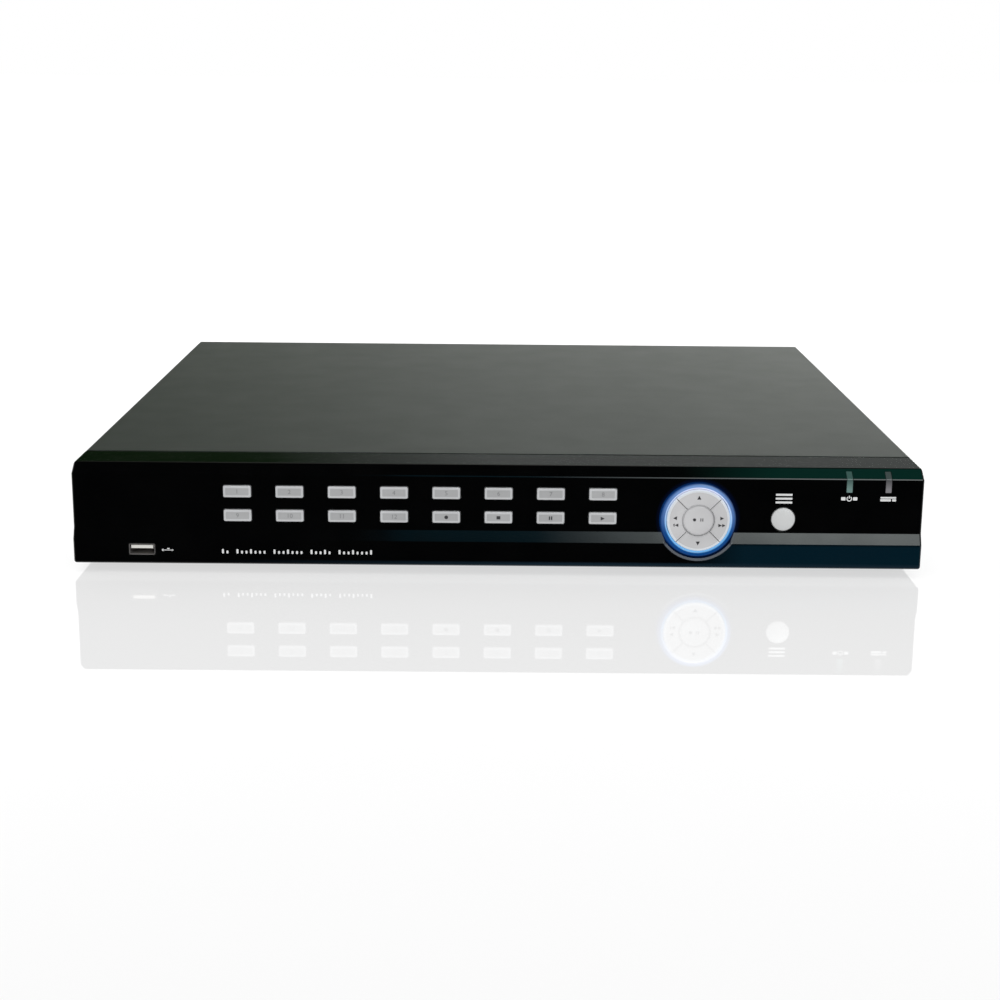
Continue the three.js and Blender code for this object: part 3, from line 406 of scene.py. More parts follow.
RIBBON = brushed("ribbon_grey", (0.30, 0.31, 0.32), 0.55, along=(30, 1, 1), metallic=0.0)
DATA_RED = moulded("data_lead_red", (0.36, 0.03, 0.02), 0.4, grain=1200)
LEAD_YELLOW = moulded("supply_lead_yellow", (0.60, 0.40, 0.04), 0.42, grain=1200)
BOARD_GREEN = circuit_board()
# Each window's glow is painted, and its second, darker colour is painted shade where it runs over the
# chamfer.
INDICATOR_GREEN = glowing("indicator_green", (0.115, 0.185, 0.172), (0.030, 0.058, 0.053))
INDICATOR_GREY = glowing("indicator_grey", (0.16, 0.155, 0.165), (0.036, 0.038, 0.039))
RING_GLOW = ring_glow()
GLOSS_BLACK = bezel_gloss()


# ------------------------------------------------------------------ outlines and skins
def rounded_outline(corners, per_corner=4):
    """A closed outline through (a, b, radius) corners, each one turned by an arc of its radius."""
    outline = []
    for index, (a, b, radius) in enumerate(corners):
        here = Vector((a, b))
        before = Vector(corners[index - 1][:2])
        after = Vector(corners[(index + 1) % len(corners)][:2])
        if radius == 0:
            outline.append(here)
            continue
        back, on = (before - here).normalized(), (after - here).normalized()
        half = back.angle(on) / 2
        centre = here + (back + on).normalized() * (radius / math.sin(half))
        start = here + back * (radius / math.tan(half)) - centre
        end = here + on * (radius / math.tan(half)) - centre
        sweep = math.copysign(math.pi - 2 * half, start.cross(end))
        for step in range(per_corner + 1):
            outline.append(centre + Matrix.Rotation(sweep * step / per_corner, 2) @ start)
    return outline


def inset(outline, distance):
    """The outline moved inwards by a distance, along the mean of each point's two edge normals."""
    area = sum(a.cross(b) for a, b in zip(outline, outline[1:] + outline[:1]))
    side = math.copysign(1, area)
    moved = []
    for index, point in enumerate(outline):
        back = (point - outline[index - 1]).normalized()
        on = (outline[(index + 1) % len(outline)] - point).normalized()
        normals = [Vector((-edge.y, edge.x)) * side for edge in (back, on)]
        mean = (normals[0] + normals[1]).normalized()
        moved.append(point + mean * (distance / max(0.3, mean.dot(normals[0]))))
    return moved


def rectangle(width, height, radius, per_corner=4):
    w, h = width / 2, height / 2
    corners = [(-w, -h, radius), (w, -h, radius), (w, h, radius), (-w, h, radius)]
    return rounded_outline(corners, per_corner)


def circle(radius, count):
    angles = [2 * math.pi * i / count for i in range(count)]
    return [Vector((radius * math.cos(a), radius * math.sin(a))) for a in angles]


def at_x(outline, x):
    """An outline of (y, z) points, set at x."""
    return [Vector((x, p.x, p.y)) for p in outline]


def at_y(outline, y, x=0.0, z=0.0):
    """An outline of (x, z) points, set upright at depth y."""
    return [Vector((x + p.x, y, z + p.y)) for p in outline]


def at_z(outline, z, x, y):
    """An outline of (x, y) points, laid flat at height z."""
    return [Vector((x + p.x, y + p.y, z)) for p in outline]


def skin(bm, rings, material=0, closed=False):
    """Joins rings of equal count into a skin, and caps its ends, or joins the last ring to the first."""
    rows = [[bm.verts.new(point) for point in ring] for ring in rings]
    pairs = list(zip(rows, rows[1:]))
    if closed:
        pairs.append((rows[-1], rows[0]))
    faces = []
    for low, high in pairs:
        for i in range(len(low)):
            j = (i + 1) % len(low)
            faces.append(bm.faces.new((low[i], low[j], high[j], high[i])))
    if not closed:
        faces += [bm.faces.new(rows[0][::-1]), bm.faces.new(rows[-1])]
    for face in faces:
        face.material_index = material
    return faces


def stack(bm, outline, steps, x=0.0, z=0.0, material=0):
    """An upright outline skinned through (inset, y) steps."""
    return skin(bm, [at_y(inset(outline, distance), y, x, z) for distance, y in steps], material)


def side_stack(bm, outline, steps):
    """An outline of (y, z) points skinned through (inset, x) steps."""
    return skin(bm, [at_x(inset(outline, distance), x) for distance, x in steps])


def softened(low, high, soft):
    """(inset, place) steps from low to high, with both ends softened."""
    return [(soft, low), (0, low + soft), (0, high - soft), (soft, high)]


def block(bm, x, half, ys, zs, radius=0.0, material=0):
    """A block about x, between two depths and two heights, with its edges along Y rounded."""
    soft = min(0.15, (ys[1] - ys[0]) / 4)
    steps = [(soft * 0.7, ys[0]), (0, ys[0] + soft), (0, ys[1] - soft), (soft * 0.7, ys[1])]
    outline = rectangle(2 * half, zs[1] - zs[0], radius)
    return stack(bm, outline, steps, x, (zs[0] + zs[1]) / 2, material)


def turned(bm, profile, x=0.0, z=0.0, count=48, material=0, closed=False):
    """A turned shape about an axis along Y, from (radius, y) points."""
    rings = [at_y(circle(max(radius, 0.02), count), y, x, z) for radius, y in profile]
    return skin(bm, rings, material, closed)


def turned_z(bm, profile, x, y, count):
    """A turned shape about an upright axis, from (radius, z) points."""
    return skin(bm, [at_z(circle(max(radius, 0.02), count), z, x, y) for radius, z in profile])


def turn_new(bm, start, matrix):
    """Moves the points that were added after a count of them."""
    bm.verts.ensure_lookup_table()
    bmesh.ops.transform(bm, matrix=matrix, verts=bm.verts[start:])


def link(name, mesh):
    made = bpy.data.objects.new(name, mesh)
    bpy.context.scene.collection.objects.link(made)
    return made


def raw_object(name, bm, at=(0, 0, 0)):
    bmesh.ops.recalc_face_normals(bm, faces=bm.faces)
    bm.transform(Matrix.Scale(MM, 4) @ Matrix.Translation(at))
    mesh = bpy.data.meshes.new(name)
    bm.to_mesh(mesh)
    bm.free()
    return link(name, mesh)


def carve(target, bm, at=(0, 0, 0), operation="DIFFERENCE"):
    """Cuts an object by a shape, or joins the shape to it."""
    cutter = raw_object("cutter", bm, at)
    modifier = target.modifiers.new("cut", "BOOLEAN")
    modifier.operation = operation
    modifier.object = cutter
    modifier.solver = "EXACT"
    bpy.context.view_layer.update()
    result = target.evaluated_get(bpy.context.evaluated_depsgraph_get())
    mesh = bpy.data.meshes.new_from_object(result)
    target.modifiers.clear()
    target.data = mesh
    bpy.data.objects.remove(cutter)


def dress(made, materials, body=CASE, sharp=32, replaced=None):
    """Gives an object its materials, smooth shading with crisp edges, the body that it rides on
    and the CAD node whose place it takes."""
    for material in materials:
        made.data.materials.append(material)
    made.data.shade_smooth()
    made.data.set_sharp_from_angle(angle=math.radians(sharp))
    normals = made.modifiers.new("normals", "WEIGHTED_NORMAL")
    normals.keep_sharp = True
    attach(made, body)
    if replaced:
        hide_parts(replaced)


def piece(name, bm, materials, body=CASE, at=(0, 0, 0), sharp=32, replaced=None):
    dress(raw_object(name, bm, at), materials, body, sharp, replaced)


def quarter(radius, steps=4):
    """(inset, depth) steps of a quarter round, from the face to the side."""
    angles = [math.pi / 2 * i / steps for i in range(steps + 1)]
    return [(radius * (1 - math.sin(a)), radius * (1 - math.cos(a))) for a in angles]


# ------------------------------------------------------------------ front bezel
def bezel_outline(inside=0.0):
    """(y, z) section of the bezel, moved inwards by a distance, with the same count of points each time."""
    back, nose_z = BEZEL_DEPTH, NOSE_FOOT.y
    corners = [
        (back, 0, 0), (-LIP_PROUD, 0, 1.5), (-LIP_PROUD, LEDGE_BOTTOM, 0.45), (0, LEDGE_TOP, 0.25),
        (0, nose_z - 0.35, 0.2), (0.25, nose_z + 0.18, 0.2), (NOSE_DEPTH, HEIGHT, 4.0),
        (back - GROOVE[0], HEIGHT, 0.3),
        (back - GROOVE[0], HEIGHT - GROOVE[1], 0.15), (back, HEIGHT - GROOVE[1], 0),
    ]
    moved = inset([Vector(corner[:2]) for corner in corners], inside)
    moved_corners = []
    for point, (a, _, radius) in zip(moved, corners):
        a = back if a == back else point.x
        moved_corners.append((a, point.y, max(radius - inside, 0.05) if radius else 0))
    return rounded_outline(moved_corners, 5)


def bezel_body():
    """The bezel as a block, with its two ends rounded over."""
    ends = [(out, bezel_outline(distance)) for distance, out in quarter(1.3, 5)]
    left = [at_x(ring, -HALF + out) for out, ring in ends]
    right = [at_x(ring, HALF - out) for out, ring in reversed(ends)]
    bm = bmesh.new()
    skin(bm, left + right)
    return raw_object("front_bezel_shell", bm, FACE)


def bezel_hollow():
    """(y, z) section of the space behind the bezel's wall."""
    roof, slope = HEIGHT - WALL, NOSE_DROP / NOSE_DEPTH
    y, z = NOSE_FOOT - OFF_NOSE * WALL
    points = [(BEZEL_DEPTH + 1, WALL), (WALL, WALL), (WALL, z + (WALL - y) * slope),
              (y + (roof - z) / slope, roof), (BEZEL_DEPTH + 1, roof)]
    return [Vector(point) for point in points]


def flared_hole(bm, section, centre, mouth=-4.0, face=0.0):
    """A cutter for a hole with a rounded mouth. section(outset) gives its outline."""
    lip, deep = 0.3, 8.0
    steps = [(lip, mouth), *((outset, face + depth) for outset, depth in quarter(lip)), (0, deep)]
    skin(bm, [at_y(section(outset), y, centre.x, centre.z) for outset, y in steps])


def led_slot_outline(clear):
    """(y, z) outline of an indicator window's slot, which wraps over the chamfered edge."""
    end = NOSE_FOOT + UP_NOSE * (LED_REACH + clear)
    outer, inner = end + OFF_NOSE * 4, end - OFF_NOSE * 4
    low = LED_LOW - clear
    return [Vector((-4, low)), Vector((9, low)), Vector((9, 44)), inner, outer, Vector((-4, outer.y))]


def bezel():
    shell = bezel_body()
    hollow = bmesh.new()
    skin(hollow, [at_x(bezel_hollow(), x) for x in (-HALF + WALL, HALF - WALL)])
    carve(shell, hollow, FACE)

    def key_hole(out):
        return rectangle(KEY_SIZE[0] + 0.6 + 2 * out, KEY_SIZE[1] + 0.6 + 2 * out, 0.8 + out)

    def menu_hole(out):
        return circle(MENU_RADIUS + 0.35 + out, 64)

    def usb_hole(out):
        return rectangle(USB_SIZE[0] + 0.5 + 2 * out, USB_SIZE[1] + 0.5 + 2 * out, 0.6 + out)

    holes = bmesh.new()
    for name in CHANNEL_KEYS:
        flared_hole(holes, key_hole, centre_mm(name) - FACE)
    flared_hole(holes, menu_hole, MENU)
    flared_hole(holes, usb_hole, USB, mouth=-5, face=-LIP_PROUD + 0.1)
    clear = 0.12
    for x in LED_X.values():
        half = LED_HALF + clear
        skin(holes, [at_x(led_slot_outline(clear), side) for side in (x - half, x + half)])
    carve(shell, holes, FACE)

    pocket = bmesh.new()
    profile = [(21.7, -5), (21.4, -2.8), (21.1, -2.55), (20.1, -2.05), (19.8, -1.6), (19.7, -1.1),
               (19.65, -0.3), (19.6, 8)]
    turned(pocket, profile, NAV.x, NAV.z, count=128)
    carve(shell, pocket, FACE)
    dress(shell, [GLOSS_BLACK], sharp=28, replaced="front_bezel")


# ------------------------------------------------------------------ keys
def channel_key(name):
    """A silver key with a rounded edge, a rim in a paler silver that paints a highlight, and a slightly
    sunken face.
    """
    width, height = KEY_SIZE
    edge = [(distance, -KEY_PROUD + depth) for distance, depth in quarter(0.55)]
    steps = [(d, y, max(0.8 - d, 0.25)) for d, y in [(0, 3.6), (0, -0.35), *edge[::-1][1:]]]
    steps += [(0.9, -KEY_PROUD, 0.4), (1.15, KEY_FACE, 0.4)]
    bm = bmesh.new()
    rings = [at_y(rectangle(width - 2 * d, height - 2 * d, radius), y) for d, y, radius in steps]
    # All faces but the sunken face take the paler silver: a painted highlight on the rounded edge and rim.
    for face in skin(bm, rings, 1):
        if face.calc_center_median().y < 0 and len(face.verts) > 4:
            face.material_index = 0
    skin(bm, [at_y(rectangle(width + 3, height + 3, 1.0), y) for y in (2.8, 3.8)], 1)
    block(bm, 0, 4, (3.6, 5.4), (-1.5, 1.5), material=1)
    centre = centre_mm(name)
    piece(name + "_cap", bm, [SILVER_FACE, SILVER_RIM_HIGHLIGHT], name + "_body",
          (centre.x, FRONT, centre.z), replaced=name)


def sector_outline(inner, outer, bearing, apart):
    """(x, z) outline of a quarter of a ring, centred on a bearing clockwise from up, edges kept apart."""
    points, steps = [], 14
    for radius, way in ((outer, 1), (inner, -1)):
        half = math.radians(45) - math.asin(apart / 2 / radius)
        for i in range(steps + 1):
            angle = math.radians(bearing) + way * half * (2 * i / steps - 1)
            points.append(Vector((radius * math.sin(angle), radius * math.cos(angle))))
    return points


def nav_key(way, bearing):
    """A quarter of the round pad: sunk towards the middle, with its rounded rim outside in a paler silver,
    a painted highlight.
    """
    steps = [  # inner radius, outer radius, gap to the next key, depth
        (PAD_INNER, PAD_OUTER, 0.16, 4.4), (PAD_INNER, PAD_OUTER, 0.16, -1.5),
        (PAD_INNER, PAD_OUTER - 0.12, 0.16, -2.35), (PAD_INNER + 0.08, PAD_OUTER - 0.5, 0.4, -2.72),
        (PAD_INNER + 0.2, PAD_OUTER - 1.3, 0.7, PAD_FACE),
    ]
    rings = [at_y(sector_outline(r0, r1, bearing, apart), y) for r0, r1, apart, y in steps]
    for point in rings[-1]:
        point.y += 0.25 * (2 - math.hypot(point.x, point.z) / 8)
    bm = bmesh.new()
    for face in skin(bm, rings):
        middle = face.calc_center_median()
        # The outer rounded rim takes the paler silver, a painted highlight.
        if math.hypot(middle.x, middle.z) > PAD_OUTER - 1.2 and middle.y < -1:
            face.material_index = 1
    hook = sector_outline(PAD_INNER, PAD_OUTER + 1.4, bearing, 1.4)
    skin(bm, [at_y(hook, 4.4), at_y(hook, 5.4)])
    name = f"nav_key_{way}"
    piece(name + "_cap", bm, [PAD_SILVER, PAD_RIM_HIGHLIGHT], name + "_body",
          FACE + Vector((NAV.x, 0, NAV.z)), replaced=name)


def enter_key():
    """The pad's round middle: stepped out over the pad's inner edge, with a shallow dish."""
    collar = ENTER_RADIUS + 0.35
    profile = [
        (ENTER_RADIUS, 5.4), (ENTER_RADIUS, 1.0), (collar, 0.8), (collar, -1.75), (ENTER_RADIUS, -1.85),
        (ENTER_RADIUS - 0.1, -2.0), (ENTER_RADIUS - 0.35, -2.3), (ENTER_RADIUS - 0.8, -2.45),
        (6.0, -2.42), (4.5, -2.3), (2.5, -2.18), (0, -2.12),
    ]
    bm = bmesh.new()
    turned(bm, profile, count=64)
    piece("enter_key_cap", bm, [PAD_SILVER], "enter_key_body",
          FACE + Vector((NAV.x, 0, NAV.z)), sharp=40, replaced="enter_key")


def menu_key():
    """A domed round key on its flange and stem."""
    angles = [math.radians(degrees) for degrees in (90, 78, 64, 50, 36, 22, 10, 0)]
    dome = [(MENU_RADIUS * math.sin(a), -1.3 + 1.21 * (1 - math.cos(a))) for a in angles]
    bm = bmesh.new()
    turned(bm, [(MENU_RADIUS, 3.8), *dome], count=64)
    turned(bm, [(MENU_RADIUS + 1.6, 2.8), (MENU_RADIUS + 1.6, 3.8)])
    turned(bm, [(2.5, 3.8), (2.5, 5.4)], count=24)
    piece("menu_key_cap", bm, [MENU_WHITE], "menu_key_body",
          FACE + Vector((MENU.x, 0, MENU.z)), sharp=50, replaced="menu_key")


def light_ring():
    """The lit guide: a half-round crown between the pad and the bezel, with its hidden flange."""
    middle, half = (RING_INNER + RING_OUTER) / 2, (RING_OUTER - RING_INNER) / 2
    angles = [math.pi * step / 12 for step in range(13)]
    crown = [(middle - half * math.cos(a), -1.0 - 1.2 * math.sin(a)) for a in angles]
    bm = bmesh.new()
    profile = [*crown, (RING_OUTER, 2.8), (20.6, 2.8), (20.6, 4.0), (RING_INNER, 4.0)]
    turned(bm, profile, count=128, closed=True)
    piece("light_ring_guide", bm, [RING_GLOW], at=FACE + Vector((NAV.x, 0, NAV.z)), sharp=50,
          replaced="light_ring")


def indicator(name, material):
    """A clear bar that follows the bezel's skin from the front face up over the chamfer."""
    end = NOSE_FOOT + UP_NOSE * LED_REACH
    between = [p for p in bezel_outline() if LED_LOW < p.y and p.x < end.x]
    front = [Vector((0, LED_LOW)), *sorted(between, key=lambda p: p.y), end]
    front = [p + Vector((0.03, 0)) for p in front]
    back = [p + Vector((1.8, -1.6)) for p in reversed(front)]
    back[-1] = Vector((2.0, LED_LOW))
    x, half = LED_X[name], LED_HALF - 0.02
    bm = bmesh.new()
    side_stack(bm, front + back, softened(x - half, x + half, 0.15))
    piece(name + "_bar", bm, [material], at=FACE, sharp=30, replaced=name)


# ------------------------------------------------------------------ printed marks
PRINT_DEPTH = 0.04  # thickness of printed ink


def print_mark(name, shapes, material, x, z, face=0.0, body=CASE):
    """Flat printed shapes, each an outline of (x, z) points, standing just proud of a face."""
    bm = bmesh.new()
    for shape in shapes:
        skin(bm, [at_y(shape, -PRINT_DEPTH), at_y(shape, LIFT)])
    piece(name, bm, [material], body, FACE + Vector((x, face, z)))


def numeral(name, text, size, material, at, body, turn=0.0):
    """Digits from the built-in font, as a thin mesh on a face that looks forwards."""
    curve = bpy.data.curves.new(name, "FONT")
    curve.body = text
    curve.size = size * MM
    curve.align_x = "CENTER"
    curve.align_y = "CENTER"
    curve.extrude = PRINT_DEPTH / 2 * MM
    curve.resolution_u = 3
    holder = link(name, curve)
    bpy.context.view_layer.update()
    mesh = bpy.data.meshes.new_from_object(holder.evaluated_get(bpy.context.evaluated_depsgraph_get()))
    bpy.data.objects.remove(holder)
    stand = Matrix.Rotation(turn, 4, "Z") @ Matrix.Rotation(math.pi / 2, 4, "X")
    mesh.transform(Matrix.Translation(Vector(at) * MM) @ stand)
    dress(link(name, mesh), [material], body)


def bar(x, z, width, height, radius=0.1):
    return [p + Vector((x, z)) for p in rectangle(width, height, radius, 2)]


def dot(x, z, radius):
    return [p + Vector((x, z)) for p in circle(radius, 20)]


def triangle(x, z, size, way):
    """A play sign that points right for way 1, or left for -1."""
    half, back = size / 2, x - way * size / 2
    return [Vector((back, z - half)), Vector((x + way * half, z)), Vector((back, z + half))]


def upright(x, z, size, way):
    """A triangle that points up for way 1, or down for -1."""
    half, foot_z = size / 2, z - way * size / 2
    return [Vector((x - half, foot_z)), Vector((x, z + way * half)), Vector((x + half, foot_z))]


def arc_band(x, z, radius, width, start, end, steps=16):
    """A stroke of a circle, between two bearings clockwise from up."""
    angles = [math.radians(start + (end - start) * i / steps) for i in range(steps + 1)]
    outer, inner = [
        [Vector((x + edge * math.sin(a), z + edge * math.cos(a))) for a in angles]
        for edge in (radius + width / 2, radius - width / 2)
    ]
    return outer + inner[::-1]


def key_marks():
    """Numbers on the first twelve keys, and record, stop, pause and play signs on the others."""
    signs = {
        13: [dot(0, 0, 0.95)],
        14: [bar(0, 0, 1.9, 1.7)],
        15: [bar(x, 0, 0.65, 1.9) for x in (-0.55, 0.55)],
        16: [triangle(0, 0, 2.0, 1)],
    }
    for number, name in enumerate(CHANNEL_KEYS, 1):
        x, _, z = centre_mm(name)
        if number in signs:
            print_mark(name + "_mark", signs[number], PRINT_GREY, x, z - BASE, KEY_FACE, name + "_body")
        else:
            at = (x, FRONT + KEY_FACE - 0.01, z)
            numeral(name + "_mark", str(number), 3.2, PRINT_FAINT, at, name + "_body")


def pad_marks():
    def step_sign(way):
        return [triangle(way * x, z, size, way) for x, z, size in ((11.9, 1.2, 1.9), (12.9, -2.5, 1.7),
                                                                   (11.0, -2.5, 1.7))]

    marks = {
        "up": [upright(0, 12.0, 2.0, 1)], "down": [upright(0, -12.0, 2.0, -1)],
        "left": step_sign(-1), "right": step_sign(1),
    }
    for way, shapes in marks.items():
        body = f"nav_key_{way}_body"
        print_mark(f"nav_mark_{way}", shapes, PRINT_GREY, NAV.x, NAV.z, PAD_FACE + 0.1, body)
    enter = [dot(-2.0, 0.3, 0.8), bar(1.2, 0.3, 0.4, 1.6), bar(2.2, 0.3, 0.4, 1.6)]
    print_mark("enter_mark", enter, PRINT_GREY, NAV.x, NAV.z, -2.2, "enter_key_body")


def bezel_marks():
    """A power sign, a drive sign, a menu sign, a socket sign and a line of plain strokes."""
    power = [arc_band(0, 0, 1.15, 0.5, 35, 325), bar(0, 0.85, 0.5, 1.4)]
    power += [bar(x, 0, 2.2, 1.7, 0.3) for x in (-3.0, 3.0)]
    print_mark("power_mark", power, PRINT_WHITE, LED_X["power_led_window"], 36.4)
    drive = [bar(0, 0.7, 8.0, 0.85, 0.3), bar(-1.3, -0.6, 5.4, 1.2, 0.3), bar(3.0, -0.6, 2.0, 1.2, 0.3)]
    print_mark("drive_mark", drive, PRINT_WHITE, LED_X["drive_led_window"], 36.4)
    menu = [bar(0, z, 8.4, 1.05, 0.2) for z in (2.0, 0, -2.0)]
    print_mark("menu_mark", menu, PRINT_WHITE, MENU.x, 36.2)
    socket = [bar(0, 0, 5.0, 0.35), dot(-2.3, 0, 0.6), triangle(2.6, 0, 1.1, 1), bar(0.4, 0.8, 1.2, 0.5)]
    print_mark("usb_mark", socket, PRINT_WHITE, -167.2, 7.3, -LIP_PROUD)
    strokes, x = [], -140.0
    for count in (2, 7, 7, 5, 8):  # one group of strokes for each word of a printed line
        for stroke in range(count):
            tall = 2.3 if stroke == 0 or stroke % 4 == 3 else 1.5
            strokes.append(bar(x + 0.8, (tall - 2.3) / 2, 1.0, tall, 0.3))
            x += 2.28
        x += 2.8
    print_mark("model_line_marks", strokes, PRINT_WHITE, 0, 6.9, -LIP_PROUD)


# ------------------------------------------------------------------ socket on the front
def usb_socket():
    """A folded shell, a pale tongue under its roof, and four contacts."""
    width, height = USB_SIZE
    depth, sheet = 11.0, 0.32
    outer, inner = rectangle(width, height, 0.7), rectangle(width - 2 * sheet, height - 2 * sheet, 0.5)
    bm = bmesh.new()
    skin(bm, [at_y(outer, depth), at_y(outer, 0), at_y(inner, 0), at_y(inner, depth - 1)])
    block(bm, 0, 5.6, (0.5, depth - 1.2), (0.35, 2.1), 0.15, 1)
    for x in row(4, USB_CONTACT_PITCH):
        block(bm, x, 0.5, (0.7, depth - 1.4), (0.22, 0.4), 0, 2)
    piece("front_usb_socket", bm, [SATIN_SHELL, WHITE_PLASTIC, GOLD],
          at=FACE + Vector((USB.x, -2.1, USB.z)), replaced="front_usb_port")


# ------------------------------------------------------------------ steel case
def cover():
    """The folded sheet, with rounded bends, slotted sides, screw holes and a rear lip."""
    low, top = COVER_LOW.z, COVER_HIGH.z
    outer = [(-HALF, low, 0), (-HALF, top, 1.7), (HALF, top, 1.7), (HALF, low, 0)]
    inner = [(HALF - SHEET, low, 0), (HALF - SHEET, top - SHEET, 0.7), (-HALF + SHEET, top - SHEET, 0.7),
             (-HALF + SHEET, low, 0)]
    bm = bmesh.new()
    stack(bm, rounded_outline(outer + inner, 6), softened(SEAM, REAR, 0.12))
    shell = raw_object("top_cover_sheet", bm)
    lip = bmesh.new()
    block(lip, 0, HALF - 4, (REAR - SHEET, REAR), (top - 7, top - SHEET / 2), 0.8)
    carve(shell, lip, operation="UNION")
    slot = rectangle(VENT["width"], VENT["high"] - VENT["low"], VENT["width"] / 2 - 0.01, 6)
    z = BASE + (VENT["low"] + VENT["high"]) / 2
    vents = [Vector((VENT["y"] + i * VENT["pitch"] + VENT["width"] / 2, z)) for i in range(VENT["count"])]
    outlines = [[at + p for p in slot] for at in vents]
    outlines += [[Vector((y, SCREW_Z)) + p for p in circle(1.8, 24)] for y in SCREW_Y]
    cuts = bmesh.new()
    for outline in outlines:
        for side in (-1, 1):
            skin(cuts, [at_x(outline, side * (HALF + past)) for past in (-3, 3)])
    carve(shell, cuts)
    dress(shell, [COVER_PAINT], replaced="top_cover")


def jack_places(block_name):
    x = centre_mm(block_name).x
    return [(x + along, z) for along in row(VIDEO_BLOCKS[block_name], JACK_PITCH) for z in JACK_ROWS]


def chassis():
    """Tray, rear wall and front wall of one folded sheet, with round and shaped socket holes."""
    left, right = CHASSIS_LOW.x, CHASSIS_HIGH.x
    floor_z, top = CHASSIS_LOW.z, CHASSIS_HIGH.z
    flange_top = floor_z + 16
    outline = rounded_outline([
        (left, floor_z, 1.4), (right, floor_z, 1.4), (right, flange_top, 0), (right - SHEET, flange_top, 0),
        (right - SHEET, floor_z + SHEET, 0.4), (left + SHEET, floor_z + SHEET, 0.4),
        (left + SHEET, flange_top, 0), (left, flange_top, 0),
    ])
    bm = bmesh.new()
    skin(bm, [at_y(outline, y) for y in (SEAM + 0.2, WALL_Y - 0.2)])
    tray = raw_object("chassis_sheet", bm)
    for ys in ((WALL_Y - SHEET, WALL_Y), (SEAM, SEAM + SHEET)):
        wall = bmesh.new()
        block(wall, (left + right) / 2, (right - left) / 2, ys, (floor_z, top), 0.8)
        carve(tray, wall, operation="UNION")

    openings = [(circle(5.2, 40), x, z) for name in VIDEO_BLOCKS for x, z in jack_places(name)]
    openings += [(circle(4.6, 36), x, z) for x in AUDIO_COLUMNS for z in JACK_ROWS]
    openings += [
        (rectangle(18.4, 10, 2.0), VGA.x, VGA_Z),
        (rectangle(17.0, 29.8, 0.5), NETWORK.x, DECK + 14.5),
        (rectangle(32.8, 11.8, 0.5), TERMINAL.x, DECK + 5.5),
        (rectangle(28, 20.8, 2.0), INLET.x, INLET.z),
        (rectangle(14, 20.4, 1.0), ROCKER.x, ROCKER.z),
    ]
    for inner, outer in ((3.4, 6.1), (7.6, 10.3), (11.8, 14.5), (16.0, 18.7)):
        openings += [(sector_outline(inner, outer, turn, 2.6), FAN.x, FAN.z) for turn in (0, 90, 180, 270)]
    openings += [(circle(1.9, 20), FAN.x + x, FAN.z + z) for x, z in FAN_SCREWS]
    cuts = bmesh.new()
    for outline, x, z in openings:
        skin(cuts, [at_y(outline, WALL_Y + past, x, z) for past in (-4, 4)])
    x, z, width, height = CABLE_WINDOW
    skin(cuts, [at_y(rectangle(width, height, 2), y, x, z) for y in (SEAM - 2, SEAM + 3)])
    carve(tray, cuts)
    dress(tray, [CHASSIS_PAINT], replaced="chassis")


def foot(name):
    low, high = box_mm(name)
    x, y, _ = (low + high) / 2
    top = high.z
    profile = [(6.2, 0.5), (6.6, 0.0), (7.4, 0), (8.0, 0.35), (8.3, 1.0), (8.9, top - 0.5), (8.8, top)]
    bm = bmesh.new()
    turned_z(bm, profile, x, y, 40)
    piece(name + "_pad", bm, [RUBBER], sharp=40, replaced=name)


def screw_head(bm, at, radius, height, direction=(0, 1, 0)):
    """A pan head with a cross recess, its flat side against a face, looking along a direction."""
    profile = [(radius, 0), (radius, 0.25), (radius * 0.94, height * 0.55), (radius * 0.72, height * 0.9),
               (radius * 0.45, height), (radius * 0.42, height - 0.35), (0.0, height - 0.6)]
    start = len(bm.verts)
    turned(bm, [(r, -depth) for r, depth in profile], count=28)
    long, short = radius * 0.62, radius * 0.13
    for half_x, half_z in ((long, short), (short, long)):
        block(bm, 0, half_x, (-height - 0.02, -height + 0.3), (-half_z, half_z), 0, 1)
    turn = Vector((0, -1, 0)).rotation_difference(Vector(direction)).to_matrix().to_4x4()
    turn_new(bm, start, Matrix.Translation(at) @ turn)


def cover_screws():
    for side, way in (("left", -1), ("right", 1)):
        for end, y in zip(("front", "rear"), SCREW_Y):
            name = f"cover_screw_{side}_{end}"
            bm = bmesh.new()
            screw_head(bm, (way * (HALF + GAP), y, SCREW_Z), 3.0, 1.57, (way, 0, 0))
            shank = [Vector((y, SCREW_Z)) + p for p in circle(1.4, 20)]
            skin(bm, [at_x(shank, x) for x in sorted((way * (HALF - 5), way * (HALF + GAP)))])
            piece(name + "_screw", bm, [BLACK_SCREW, BLACK_PLASTIC], replaced=name)


# ------------------------------------------------------------------ rear sockets
def proud_of_wall(name):
    """How far behind the rear wall a socket starts, and how far it stands out of it."""
    low, high = box_mm(name)
    return low.y - WALL_Y, high.y - WALL_Y


def turn_parts(bm, x, z, parts):
    """Turned shapes on one axis along Y, each with its count of sides and its material."""
    for profile, count, material in parts:
        turned(bm, profile, x, z, count, material)


def socket_body(bm, name, material):
    """The moulding behind the wall, as big as the node's CAD box."""
    low, high = box_mm(name)
    middle, half = (low.x + high.x) / 2, (high.x - low.x) / 2
    block(bm, middle, half, (low.y - WALL_Y, -SHEET - GAP), (low.z, high.z), 0.6, material)


